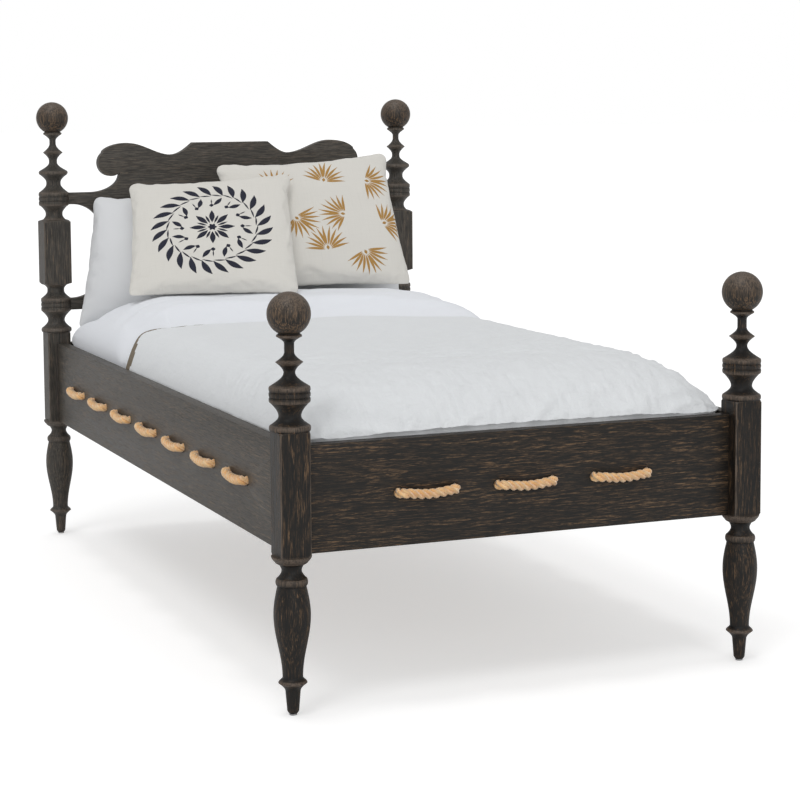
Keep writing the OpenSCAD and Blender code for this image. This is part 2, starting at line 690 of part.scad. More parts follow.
module coverlet() {
    outer = cover_skin(0);
    inner = cover_skin(coverlet_t);
    m = len(outer);
    n = len(outer[0]);
    o = m * n;
    faces = flat([
        nest(0, m, n, false), turned_over(nest(o, m, n, false)),
        flat(zip(0, n)), turned_over(flat(zip(o, n))),
        flat([for (i = [0:n - 2]) let (k = (m - 1) * n + i) quad(k, o + k, o + k + 1, k + 1)]),
        flat([for (j = [0:m - 2]) quad(j * n, o + j * n, o + j * n + n, j * n + n)]),
        flat([for (j = [1:m - 1]) quad(j * n - 1, j * n + n - 1, o + j * n + n - 1, o + j * n - 1)]),
        quad(0, n - 1, o + n - 1, o)]);
    color(linen) polyhedron(points = concat(flat(outer), flat(inner)), faces = turned_over(faces),
                            convexity = 8);
}

// The duvet lies thin under the coverlet and folded double above its top
// edge. Under the coverlet it has the coverlet's own points, a gap below them.
duvet_rise = 150;
duvet_end = 60;
deep_duvet = coverlet_t + 2 * soft_gap;
duvet_y = sleep_y + min([for (p = sleep_front) p[1]]) - duvet_room;
duvet_rings = [for (ring = cover_rings) if (ring[2] <= edge_z / 3) ring];
duvet_stops = [0, 0.45, 0.6, 0.72, 0.86, 0.98];
function rise(y) = ease("swell", min(1, max(0, (y - fold_y) / duvet_rise)));
function duvet_z(x, y, drop) = crest(x, deep_duvet) - drop * (1 + rise(y))
    + (duvet_up - coverlet_up + deep_duvet) * rise(y);
function duvet_side(w, y1) = [for (k = duvet_stops) [w, y1 + (fold_y - y1) * k]];
function duvet_outline(ring) =
    let (w = cover_x - ring[0] - deep_duvet, y1 = duvet_y - min(ring[0], duvet_end))
    concat(duvet_side(-w, y1), cover_ring(ring, deep_duvet), backwards(duvet_side(w, y1)));

module duvet() {
    rings = [for (ring = duvet_rings)
        [for (p = duvet_outline(ring)) [p[0], p[1], duvet_z(p[0], p[1], ring[2])]]];
    floor = [for (p = rings[len(rings) - 1]) [p[0], p[1], sheet_top + soft_gap]];
    m = len(rings) + 1;
    n = len(floor);
    faces = concat(turned_over(nest(0, m, n, true)), turned_over(flat(zip(0, n))), flat(zip((m - 1) * n, n)));
    color(white) polyhedron(points = concat(flat(rings), floor), faces = faces, convexity = 6);
}

// A pillow: a grid over its width and height, crowned on both faces and drawn
// in between its corners, narrower by a share at the top. It leans back towards
// +Y and stands a gap above the height it is given.
function cushion(w, h, t, top_share, face) = [for (j = [0:pillow_steps], i = [0:pillow_steps])
    let (u = 2 * i / pillow_steps - 1, v = 2 * j / pillow_steps - 1,
         wide = (1 - drawn * (1 - v * v)) * (1 + (top_share - 1) * (v + 1) / 2),
         tall = v < 0 ? 0 : drawn * (1 - u * u) * v,
         swell = pow((1 - u * u) * (1 - v * v), full))
    [w / 2 * u * wide, face * (seam + (t / 2 - seam) * swell), h * ((v + 1) / 2 - tall / 2)]];
function leaning(points, lean) = [for (p = points)
    [p[0], p[1] * cos(lean) + p[2] * sin(lean), p[2] * cos(lean) - p[1] * sin(lean)]];

module pillow(w, h, t, top_share, lean, spin, x, y, z) {
    m = pillow_steps + 1;
    o = m * m;
    front = cushion(w, h, t, top_share, -1);
    points = leaning(concat(front, cushion(w, h, t, top_share, 1)), lean);
    face = [for (j = [0:m - 2], i = [0:m - 2]) quad(0, m, m + 1, 1) + (j * m + i) * [[1, 1, 1], [1, 1, 1]]];
    rim = concat([for (i = [0:m - 1]) i], [for (j = [1:m - 1]) j * m + m - 1],
                 [for (i = [1:m - 1]) o - 1 - i], [for (j = [1:m - 2]) o - m - j * m]);
    n = len(rim);
    sides = [for (i = [0:n - 1]) let (a = rim[i], b = rim[(i + 1) % n]) quad(a, b, b + o, a + o)];
    faces = concat(flat(face), turned_over(flat(face) + [for (f = flat(face)) [o, o, o]]), flat(sides));
    translate([x, y, z + soft_gap - min([for (p = points) p[2]])]) rotate([0, 0, spin])
        polyhedron(points = points, faces = faces, convexity = 4);
}

module sleeping_pillow(s) {
    color(white) pillow(sleep_w, sleep_h, sleep_t, sleep_top, sleep_lean, 0,
                        s * sleep_x, sleep_y, sheet_top);
}
module sleeping_pillow_left() { sleeping_pillow(-1); }
module sleeping_pillow_right() { sleeping_pillow(1); }
module throw_pillow_rear() {
    color(cream) pillow(rear_w, rear_h, rear_t, 1, rear_lean, rear_spin,
                        rear_x, rear_y, duvet_z(0, rear_y, 0));
}
module throw_pillow_front() {
    color(cream) pillow(front_w, front_h, front_t, 1, front_lean, front_spin,
                        front_x, front_y, duvet_z(0, front_y, 0));
}

foot_post_left();
foot_post_right();
head_post_left();
head_post_right();
foot_ball_left();
foot_ball_right();
head_ball_left();
head_ball_right();
finial_dowels();
leg_glides();
side_rail_left();
side_rail_right();
foot_rail();
head_rail();
headboard_panel();
hook_plates();
slot_plates();
plate_screws();
cross_ropes();
long_ropes();
rope_knots();
mattress();
fitted_sheet();
duvet();
coverlet();
sleeping_pillow_left();
sleeping_pillow_right();
throw_pillow_rear();
throw_pillow_front();
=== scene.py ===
# A dressed rope bed for a single mattress. Brushed, ebonised oak: four turned posts
# with ball finials, plank rails laced with manila rope, and a shaped headboard. It
# carries a mattress, white bedding, a linen coverlet and four pillows. Metres, +Z up.
import contextlib
import math

import bmesh
import bpy
import numpy as np
from mathutils import Euler, Matrix, Vector, noise
from mathutils.bvhtree import BVHTree


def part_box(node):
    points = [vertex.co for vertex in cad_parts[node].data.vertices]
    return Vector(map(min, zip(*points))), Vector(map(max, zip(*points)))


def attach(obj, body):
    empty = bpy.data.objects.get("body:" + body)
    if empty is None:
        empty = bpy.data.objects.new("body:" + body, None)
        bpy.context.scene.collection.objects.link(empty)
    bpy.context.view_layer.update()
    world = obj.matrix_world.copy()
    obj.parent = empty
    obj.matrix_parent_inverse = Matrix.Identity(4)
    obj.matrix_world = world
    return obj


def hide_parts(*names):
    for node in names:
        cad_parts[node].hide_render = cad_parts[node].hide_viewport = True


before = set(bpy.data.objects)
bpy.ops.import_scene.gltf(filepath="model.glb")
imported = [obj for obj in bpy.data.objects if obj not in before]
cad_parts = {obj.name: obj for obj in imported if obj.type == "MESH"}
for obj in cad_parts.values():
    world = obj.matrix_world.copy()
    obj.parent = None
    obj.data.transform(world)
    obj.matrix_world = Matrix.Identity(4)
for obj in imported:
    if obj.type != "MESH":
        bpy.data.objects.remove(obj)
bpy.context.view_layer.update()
scene = bpy.context.scene
mm = 0.001


# ---- Room -------------------------------------------------------------------
# A pale floor that runs to the horizon and keeps the bed's soft shadow. White studio
# light comes from the left, above and the front; the camera is left of the bed's foot.
def feed(tree, node, values):
    """Gives each named socket of a node a number, a colour or another node's output."""
    for key, value in values.items():
        if isinstance(value, bpy.types.NodeSocket):
            tree.links.new(value, node.inputs[key])
        else:
            node.inputs[key].default_value = value


def add(tree, kind, values=None, **settings):
    made = tree.nodes.new(kind)
    for key, value in settings.items():
        setattr(made, key, value)
    feed(tree, made, values or {})
    return made


def calc(tree, operation, a, b=0.0, c=0.0):
    return add(tree, "ShaderNodeMath", {0: a, 1: b, 2: c}, operation=operation).outputs[0]


def mask(tree, value, low, high, to_low=0.0, to_high=1.0):
    """A soft step of a value, from to_low at low to to_high at high."""
    return add(tree, "ShaderNodeMapRange",
               {"Value": value, "From Min": low, "From Max": high, "To Min": to_low, "To Max": to_high},
               interpolation_type="SMOOTHSTEP").outputs[0]


def mixed(tree, share, a, b):
    return add(tree, "ShaderNodeMix", {0: share, 6: a, 7: b}, data_type="RGBA").outputs[2]


def new_material(name):
    material = bpy.data.materials.new(name)
    material.use_nodes = True
    return material, material.node_tree, material.node_tree.nodes["Principled BSDF"]


def mesh_object(name, points, faces, material=None, edges=()):
    mesh = bpy.data.meshes.new(name)
    mesh.from_pydata([tuple(p) for p in points], edges, [tuple(f) for f in faces])
    made = bpy.data.objects.new(name, mesh)
    scene.collection.objects.link(made)
    if material:
        mesh.materials.append(material)
    return made


scene.view_settings.view_transform = "Standard"
studio_white = (1, 1, 1, 1)
fill_light, mirrored = 0.57, 0.45
world = bpy.data.worlds.new("studio")
world.use_nodes = True
scene.world = world
sky = world.node_tree
seen = add(sky, "ShaderNodeLightPath").outputs
fill = mask(sky, seen["Is Glossy Ray"], 0, 1, fill_light, mirrored)
feed(sky, sky.nodes["Background"],
     {"Color": studio_white, "Strength": calc(sky, "MAXIMUM", fill, seen["Is Camera Ray"])})


def sun(name, strength, soft, from_left, from_front, height):
    """A lamp without falloff that shines from a place beside and before the bed."""
    lamp = bpy.data.objects.new(name, bpy.data.lights.new(name, "SUN"))
    lamp.data.energy = strength
    lamp.data.angle = math.radians(soft)
    lamp.rotation_mode = "QUATERNION"
    lamp.rotation_quaternion = Vector((-from_left, -from_front, height)).to_track_quat("Z", "Y")
    scene.collection.objects.link(lamp)


sun("key_light", 0.55, 20, 0.7, 0.6, 1.5)
sun("top_light", 0.45, 12, 0.05, -0.05, 1.0)
sun("front_light", 0.42, 36, 0.05, 1.0, 0.4)

floor_half, floor_glow = 60, 0.47
floor_finish, tree, shader = new_material("floor")
looked_at = add(tree, "ShaderNodeLightPath").outputs["Is Camera Ray"]
feed(tree, shader, {
    "Base Color": mixed(tree, looked_at, (0.80, 0.80, 0.80, 1), (0.72, 0.72, 0.72, 1)),
    "Roughness": 0.9, "Specular IOR Level": 0.0,
    "Emission Color": studio_white, "Emission Strength": mask(tree, looked_at, 0, 1, 0, floor_glow)})
corners = [(x * floor_half, y * floor_half, 0) for x, y in ((-1, -1), (1, -1), (1, 1), (-1, 1))]
floor = mesh_object("floor", corners, [(0, 1, 2, 3)], floor_finish)

camera = bpy.data.objects.new("camera", bpy.data.cameras.new("camera"))
scene.collection.objects.link(camera)
scene.camera = camera
yaw, pitch, roll = (math.radians(a) for a in (22.45, 5.58, -0.37))
ahead = Vector((math.sin(yaw) * math.cos(pitch), math.cos(yaw) * math.cos(pitch), -math.sin(pitch)))
level = Vector((math.cos(yaw), -math.sin(yaw), 0))
upright = level.cross(ahead)
side = math.cos(roll) * level + math.sin(roll) * upright
upward = -math.sin(roll) * level + math.cos(roll) * upright
camera.matrix_world = Matrix((side, upward, -ahead)).transposed().to_4x4()
camera.location = (-1.9744, -5.0857, 1.2761)
camera.data.sensor_width = 36
camera.data.lens = 97.2
camera.data.shift_y = -0.125
camera.data.clip_end = 200


# ---- Turned posts -----------------------------------------------------------
# Each post is turned from one square of oak. The lathe leaves two square blocks
# with rounded shoulders on a head post and one on a foot post. Wire-brushed, then
# ebonised, and rubbed back to brown on the rims of its rings and along its edges.
# Its grooves are darkened as painted shade.
def node_group(name, kind, given, leaving):
    """A node group whose sockets are given as {name: type}, and the values that it is given."""
    group = bpy.data.node_groups.new(name, kind)
    for in_out, sockets in (("INPUT", given), ("OUTPUT", leaving)):
        for socket, value_type in sockets.items():
            group.interface.new_socket(socket, in_out=in_out, socket_type="NodeSocket" + value_type)
    return group, add(group, "NodeGroupInput").outputs


def scaled(tree, place, factors):
    return add(tree, "ShaderNodeVectorMath", {0: place, 1: factors}, operation="MULTIPLY").outputs[0]


def noise_map(tree, place, scale, detail, roughness=0.5, distortion=0.0):
    return add(tree, "ShaderNodeTexNoise",
               {"Vector": place, "Scale": scale, "Detail": detail, "Roughness": roughness,
                "Distortion": distortion}).outputs["Fac"]


def relief(tree, height, strength, depth):
    """Normals of a surface whose height, from 0 to 1, stands for so many metres."""
    return add(tree, "ShaderNodeBump",
               {"Height": height, "Strength": strength, "Distance": depth}).outputs[0]


def place_in(tree, space="Object"):
    return add(tree, "ShaderNodeTexCoord").outputs[space]


def stored(tree, name):
    """What the piece's mesh holds under a name."""
    return add(tree, "ShaderNodeAttribute", attribute_name=name).outputs["Fac"]


def brushed_oak():
    """Colour, roughness and relief of ebonised oak whose grain runs along X. A stored value above zero
    rubs it back to brown, as wear; below zero darkens it as painted shade. A grey painted sheen is mixed
    in where it is asked for.
    """
    group, given = node_group("brushed_oak", "ShaderNodeTree",
                              {"Vector": "Vector", "Wear_and_shade": "Float", "Brown": "Float", "Sheen_grey": "Float"},
                              {"Color": "Color", "Roughness": "Float", "Height": "Float"})
    black = (0.0075, 0.0066, 0.0056, 1)
    brown = (0.165, 0.097, 0.049, 1)
    tan = (0.36, 0.235, 0.135, 1)
    rubbed = (0.150, 0.112, 0.084, 1)
    # Near-black of the pores, and of painted shade.
    pores_and_shade = (0.0045, 0.0042, 0.0040, 1)
    # A grey painted sheen that stands for the white room's reflection and haze on the oak.
    sheen_grey = (0.150, 0.136, 0.116, 1)
    ring_width = 0.0062

    def times(*factors):
        product = factors[0]
        for factor in factors[1:]:
            product = calc(group, "MULTIPLY", product, factor)
        return product

    def grain(along, across, detail, roughness=0.5, distortion=0.0):
        return noise_map(group, scaled(group, given["Vector"], (along, across, across)), 1.0,
                         detail, roughness, distortion)

    clouds = grain(3.2, 15, 3, 0.55)
    patches = grain(5.5, 60, 3, 0.6, 0.4)
    dashes = grain(58, 500, 3, 0.7)
    fibres = grain(22, 360, 4, 0.66)
    hairs = grain(34, 950, 2)
    streaks = grain(14, 400, 2)
    radius = add(group, "ShaderNodeVectorMath", {0: scaled(group, given["Vector"], (0, 1, 1))},
                 operation="LENGTH").outputs["Value"]
    radius = calc(group, "MULTIPLY_ADD", clouds, 0.045, radius)
    late = mask(group, calc(group, "SINE", times(radius, 2 * math.pi / ring_width)), -0.5, 0.95)
    warm = mask(group, patches, 0.38, 0.64)
    browned = times(given["Brown"], mask(group, late, 0, 1, 0.35, 1.0), mask(group, fibres, 0.43, 0.60),
                    mask(group, dashes, 0.42, 0.58, 0.15, 1.3), mask(group, warm, 0, 1, 0.35, 1.0))
    flecks = times(mask(group, streaks, 0.62, 0.72), warm, mask(group, clouds, 0.42, 0.62),
                   given["Brown"])
    bare = times(mask(group, given["Wear_and_shade"], 0, 1), mask(group, fibres, 0.34, 0.62, 0.30, 1.0))
    # Painted shade: below zero the stored value darkens the oak towards near-black, in the turnings'
    # grooves, on the rails' upward faces and under each ball's middle.
    painted_shade = mask(group, given["Wear_and_shade"], -0.9, -0.05, 0.85, 0.0)
    # Painted sheen: grey streaks along the fibres, strongest on the side rails and the headboard.
    painted_sheen = times(given["Sheen_grey"], mask(group, fibres, 0.36, 0.66, 0.45, 1.0))
    pored = mask(group, hairs, 0.53, 0.64)
    colour = black
    for share, over in ((browned, brown), (times(flecks, 0.55), tan), (bare, rubbed), (painted_shade, pores_and_shade),
                        (painted_sheen, sheen_grey), (times(pored, 0.6), pores_and_shade)):
        colour = mixed(group, share, colour, over)
    height = calc(group, "SUBTRACT", calc(group, "ADD", fibres, times(late, 0.25)), times(pored, 0.5))
    add(group, "NodeGroupOutput",
        {"Color": colour, "Roughness": mask(group, fibres, 0.3, 0.7, 0.36, 0.54), "Height": height})
    return group


oak_effect = brushed_oak()


def oak(name, node, grain_axis, heart, brown, sheen_grey):
    """Oak whose grain runs along an axis. The tree's middle lies at heart, in mm, from the node's. The
    last argument sets how much grey painted sheen it gets.
    """
    material, tree, shader = new_material(name)
    turn = {"X": (0, 0, 0), "Y": (0, 0, math.radians(90)), "Z": (0, math.radians(90), 0)}[grain_axis]
    lo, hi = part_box(node)
    middle = (lo + hi) / 2 + Vector(heart) * mm
    middle.rotate(Euler(turn))
    place = add(tree, "ShaderNodeMapping",
                {"Vector": place_in(tree), "Location": -middle, "Rotation": turn})
    effect = add(tree, "ShaderNodeGroup",
                 {"Vector": place.outputs[0], "Wear_and_shade": stored(tree, "wear_and_shade"),
                  "Brown": brown, "Sheen_grey": sheen_grey}, node_tree=oak_effect).outputs
    feed(tree, shader, {"Base Color": effect["Color"], "Roughness": effect["Roughness"],
                        "Specular IOR Level": 0.36,
                        "Normal": relief(tree, effect["Height"], 0.5, 0.6 * mm)})
    return material


def tube_sides(rings, n):
    """Faces between rings that have n points each."""
    return [(j * n + k, j * n + (k + 1) % n, (j + 1) * n + (k + 1) % n, (j + 1) * n + k)
            for j in range(rings - 1) for k in range(n)]


def closed_tube(rings, n):
    return tube_sides(rings, n) + [tuple(range(n - 1, -1, -1)), tuple(range(rings * n - n, rings * n))]


@contextlib.contextmanager
def editing(piece):
    """Opens a piece's mesh for edits and puts the result back."""
    shape = bmesh.new()
    shape.from_mesh(piece.data)
    yield shape
    shape.to_mesh(piece.data)
    shape.free()


def is_sharp(edge):
    return len(edge.link_faces) == 2 and edge.calc_face_angle() > math.radians(30)


def rounded(shape, edges, reach, segments):
    """Rounds edges over so many millimetres to each side, and returns the new faces."""
    return bmesh.ops.bevel(shape, geom=edges, offset=reach * mm, segments=segments, profile=0.5,
                           affect="EDGES", clamp_overlap=True)["faces"]


def smooth(piece, sharp_from):
    piece.data.shade_smooth()
    piece.data.set_sharp_from_angle(angle=math.radians(sharp_from))


def write_attribute(piece, name, values):
    attribute = piece.data.attributes.new(name, "FLOAT", "POINT")
    attribute.data.foreach_set("value", np.asarray(values, np.float32))


EASES = {"swell": lambda t: (1 - math.cos(math.pi * t)) / 2, "cove": lambda t: math.sin(math.pi * t / 2),
         "flare": lambda t: 1 - math.cos(math.pi * t / 2), "bead": lambda t: math.sin(math.pi * t),
         "line": lambda t: t}
ring_pitch = 1.6


def turned(z, r, steps):
    """Radius and height down a turning, from a list of (height, radius at its end, kind of curve)."""
    stations = []
    for rise, end_r, kind in steps:
        n = 1 if kind == "line" and rise < 8 else max(8, round(rise / ring_pitch))
        for t in (k / n for k in range(n)):
            up = EASES["swell"](t) if kind == "bead" else t
            stations.append((r + (end_r - r) * EASES[kind](t), z + rise * up))
        z += rise
        r = r if kind == "bead" else end_r
    return stations + [(r, z)]


def height_of(steps):
    return sum(step[0] for step in steps)


rail_z, rail_h, block_over = 332, 225, 31
block_w, block_end_r, above_block_r = 66, 42, 39.5
head_block_w, head_block_h, head_block_end_r, above_head_block_r = 78, 187, 33, 32
vase_r, drum_r, drum_lip_r, foot_drum_h, head_drum_h = 38.4, 42.7, 40.5, 33, 38
glide_r, glide_h, ball_r, ball_flat, arris = 8, 3, 45, 6, 3.5
seat_r = math.sqrt(ball_r ** 2 - (ball_r - ball_flat) ** 2)
toe = [(8, 12.5, "cove"), (39, 15.7, "line"), (18, 30, "flare"), (12, 21.2, "swell")]
collar = [(60, 29.8, "flare"), (16, 33.4, "bead"), (16, 20.8, "cove"), (9, 24, "flare"),
          (9, 34.6, "swell"), (12, 42, "cove")]
vase = [(rail_z - glide_h - height_of(toe) - height_of(collar), vase_r, "swell")]
leg = toe + vase + collar


def drum(h):
    return [(h / 3, drum_r, "bead")] * 3


foot_top = [(13, 43, "bead"), (18, 23.3, "cove"), (26, 38, "flare"), (2, drum_lip_r, "line"),
            *drum(foot_drum_h), (28, 12, "cove"), (21, 28.5, "flare"), (20, 10.3, "cove"),
            (18, 10.3, "line"), (14, 26.3, "flare"), (3, 26.3, "line"), (4, seat_r, "cove")]
head_cove = [(13, 43, "bead"), (21, 23.6, "cove"), (24, 38, "flare"), (2, drum_lip_r, "line")]
head_mid = head_cove + drum(head_drum_h) + [(20, 24, "cove"), (6, 24, "line"), (12, 33, "flare")]
top_cove = [(14, 23.9, "cove"), (3, 23.9, "line"), (20, 36, "flare"), (3, drum_lip_r, "line")]
head_top = top_cove + drum(head_drum_h) + [
    (24, 20.4, "cove"), (4, 20.4, "line"), (23, 39.3, "flare"), (5, 41, "cove"), (5, 38.5, "flare"),
    (24, 11.4, "cove"), (5, 11.4, "line"), (23, 28, "flare"), (25, 9, "cove"), (9, 9, "line"),
    (18, 26.1, "flare"), (3, 26.1, "line"), (4, seat_r, "cove")]
block_top = rail_z + rail_h + block_over
head_block_z = block_top + height_of(head_mid)
head_top_z = head_block_z + head_block_h


def corner_angles():
    """Even steps round the post, with more of them at the blocks' corners and end arcs."""
    close = [math.acos(block_w / 2 / block_end_r)]
    for w in (block_w, head_block_w):
        first = math.atan((w / 2 - arris) / (w / 2))
        close += [first + (math.pi / 4 - first) * k / 3 for k in range(3)]
    angles = {round(2 * math.pi * k / 88, 5) for k in range(88)}
    for quarter in range(4):
        for a in close:
            angles |= {round(quarter * math.pi / 2 + a, 5), round((quarter + 1) * math.pi / 2 - a, 5)}
    return np.array(sorted(angles))


angles = corner_angles()


def square_radius(w):
    """How far the rounded square of a block reaches at each angle."""
    folded = np.abs((angles + math.pi / 4) % (math.pi / 2) - math.pi / 4)
    flat = w / 2 / np.cos(folded)
    core = w / 2 - arris
    c, s = np.cos(folded), np.sin(folded)
    b = core * (c + s)
    corner = b + np.sqrt(np.maximum(b * b - 2 * core * core + arris * arris, 0))
    return np.where(w / 2 * np.tan(folded) > core, corner, flat)


def block_rings(w, z, h, end_r, shoulder):
    """Rings of a square block: its round end, its scalloped edge, and the same again at the top."""
    square = square_radius(w)
    corner_r = w / math.sqrt(2) + 1
    climb = np.maximum(square - end_r, 0) / (corner_r - end_r) * shoulder
    end = np.minimum(square, end_r)
    rounding_from = math.hypot(w / 2, w / 2 - arris)
    edge = np.clip((square - rounding_from + 0.1) / 0.9, 0, 1) * 0.85
    rim = np.maximum(edge, 0.45)
    inset = 4
    return [(end, z + 0 * square, rim), (square, z + climb, rim), (square, z + climb + inset, edge),
            (square, z + h - climb - inset, edge), (square, z + h - climb, rim),
            (end, z + h + 0 * square, rim)]


def lathe_rings(stations):
    """Rings of a turned length; what stands out from its neighbours is worn, and what lies below them is
    marked for painted shade.
    """
    r = np.array([s[0] for s in stations])
    z = np.array([s[1] for s in stations])
    near = np.abs(z[:, None] - z[None, :]) < 11
    proud = r - (near * r[None, :]).sum(1) / near.sum(1)
    wear_and_shade = np.clip(np.where(proud > 0, (proud - 0.3) / 3.0, proud / 2.6), -1, 0.9)
    return [(np.full(len(angles), r[k]), np.full(len(angles), z[k]), np.full(len(angles), wear_and_shade[k]))
            for k in range(len(r))]


def post(name, node, material):
    rings = lathe_rings(turned(glide_h, glide_r, leg))
    rings += block_rings(block_w, rail_z, block_top - rail_z, block_end_r, 8)
    if "foot" in node:
        rings += lathe_rings(turned(block_top, above_block_r, foot_top))
    else:
        rings += lathe_rings(turned(block_top, above_block_r, head_mid))
        rings += block_rings(head_block_w, head_block_z, head_block_h, head_block_end_r, 7)
        rings += lathe_rings(turned(head_top_z, above_head_block_r, head_top))
    lo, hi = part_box(node)
    cx, cy = (lo.x + hi.x) / 2, (lo.y + hi.y) / 2
    points = [(cx + r[k] * mm * math.cos(a), cy + r[k] * mm * math.sin(a), z[k] * mm)
              for r, z, wear_and_shade in rings for k, a in enumerate(angles)]
    made = mesh_object(name, points, closed_tube(len(rings), len(angles)), material)
    write_attribute(made, "wear_and_shade", np.concatenate([wear_and_shade for r, z, wear_and_shade in rings]))
    blocks = ((rail_z, block_top), (head_block_z, head_top_z))
    core_r = 32.5
    with editing(made) as shape:
        bmesh.ops.remove_doubles(shape, verts=shape.verts, dist=0.02 * mm)
        crisp = [e for e in shape.edges if is_sharp(e)
                 and any(z0 * mm - 1e-5 <= e.verts[0].co.z <= z1 * mm + 1e-5 for z0, z1 in blocks)
                 and max(math.hypot(v.co.x - cx, v.co.y - cy) for v in e.verts) > core_r * mm
                 and abs(e.verts[0].co.z - e.verts[1].co.z) < 4 * mm]
        rounded(shape, crisp, 0.9, 2)
    smooth(made, 32)
    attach(made, "bed_frame")
    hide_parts(node)


for k, node in enumerate(("foot_post_left", "foot_post_right", "head_post_left", "head_post_right")):
    heart = (21 + 9 * k, 34 - 11 * k, 300 * k)
    # The head posts get a grey painted sheen, the foot posts none.
    sheen_grey = 0.0 if "foot" in node else 0.5
    post(f"turned_{node}", node, oak(f"oak_{node}", node, "Z", heart, 0.85, sheen_grey))


# ---- Balls ------------------------------------------------------------------
# A turned ball on a flat seat stands on each post and is held by a dowel. Its upper
# half, where the end grain shows, is rubbed back to brown, as wear and as painted
# highlight; its lower part is darkened as painted shade.
ball_rings, ball_sides = 44, 72


def ball(name, node, material):
    lo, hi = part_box(node)
    centre = Vector(((lo.x + hi.x) / 2, (lo.y + hi.y) / 2, hi.z - ball_r * mm))
    seat_z = ball_flat - ball_r
    lowest = math.asin(-seat_z / ball_r)
    tilts = [-lowest + (math.pi / 2 + lowest) * k / ball_rings for k in range(ball_rings)]
    stations = [(math.cos(-lowest) * ball_r - 1.2, seat_z)]
    stations += [(ball_r * math.cos(t), ball_r * math.sin(t)) for t in tilts]
    stations[1] = (stations[1][0] - 0.15, stations[1][1] + 0.35)
    points = [centre + Vector((r * math.cos(a), r * math.sin(a), z)) * mm for r, z in stations
              for a in (2 * math.pi * k / ball_sides for k in range(ball_sides))]
    points += [centre + Vector((0, 0, seat_z)) * mm, centre + Vector((0, 0, ball_r)) * mm]
    n, top = ball_sides, (len(stations) - 1) * ball_sides
    faces = tube_sides(len(stations), n)
    faces += [((k + 1) % n, k, len(points) - 2) for k in range(n)]
    faces += [(top + k, top + (k + 1) % n, len(points) - 1) for k in range(n)]
    made = mesh_object(name, points, faces, material)
    # Lighter towards the top and darker below the middle: wear together with painted highlight, and
    # painted shade.
    write_attribute(made, "wear_and_shade", [np.clip((v.co.z - centre.z) / ball_r / mm * 0.8 + 0.3, -0.4, 0.85)
                                   for v in made.data.vertices])
    smooth(made, 40)
    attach(made, "bed_frame")
    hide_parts(node)


for k, end in enumerate(("foot", "head")):
    for j, side_name in enumerate(("left", "right")):
        node = f"{end}_ball_{side_name}"
        heart = (17 - 21 * j, 26 + 7 * k, 170 * k + 90 * j)
        ball(f"turned_{node}", node, oak(f"oak_{node}", node, "Z", heart, 3.2, 0.12))


# ---- Rails ------------------------------------------------------------------
# Four oak planks on edge, with their edges eased by hand and a row of holes for
# the rope. The foot and head rails end in tenons, the side rails in steel hooks.
# Their upward faces are darkened as painted shade.
def eased_copy(name, node, ease, material):
    """A piece with the node's own faces, its sharp edges rounded and marked as worn, and its upward
    faces marked for painted shade.
    """
    made = bpy.data.objects.new(name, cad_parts[node].data.copy())
    scene.collection.objects.link(made)
    with editing(made) as shape:
        bmesh.ops.remove_doubles(shape, verts=shape.verts, dist=0.01 * mm)
        bmesh.ops.dissolve_limit(shape, angle_limit=math.radians(1), verts=shape.verts,
                                 edges=shape.edges)
        wear_and_shade = shape.faces.layers.float.new("wear_and_shade")
        for f in rounded(shape, [e for e in shape.edges if is_sharp(e)], ease, 3):
            f[wear_and_shade] = 0.6
        for f in shape.faces:
            # Painted shade: faces that look up are darkened.
            if f.normal.z > 0.9:
                f[wear_and_shade] = -0.5
    made.data.materials.clear()
    made.data.materials.append(material)
    smooth(made, 25)
    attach(made, "bed_frame")
    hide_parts(node)
    return made


# The last number is how much grey painted sheen each plank gets, most on the side rails.
for name, node, axis, heart, sheen_grey in (("foot_plank", "foot_rail", "X", (350, 66, 25), 0.05),
                                      ("head_plank", "head_rail", "X", (-200, -58, -30), 0.05),
                                      ("left_plank", "side_rail_left", "Y", (74, 500, -18), 0.60),
                                      ("right_plank", "side_rail_right", "Y", (-60, 100, 12), 0.60)):
    eased_copy(name, node, 1.4, oak(f"oak_{name}", node, axis, heart, 1.1, sheen_grey))


# ---- Headboard --------------------------------------------------------------
# One glued-up panel sawn to shape: two arms at each side that are let into the
# posts' drums, open cut-outs, a scroll at each end of the crest, all edges rounded.
low_arm_z = block_top + height_of(head_cove) + head_drum_h / 2
top_arm_z = head_top_z + height_of(top_cove) + head_drum_h / 2
arm_h, panel_w, panel_t, crest_flat, crest_up, scroll_r = 33, 790, 26, 115, 138, 38
arm_sweep_x, arm_sweep_z = 85, 72


def arc(cx, cz, rx, rz, a0, a1, n):
    turns = [math.radians(a0 + (a1 - a0) * k / n) for k in range(n + 1)]
    return [(cx + rx * math.cos(a), cz + rz * math.sin(a)) for a in turns]


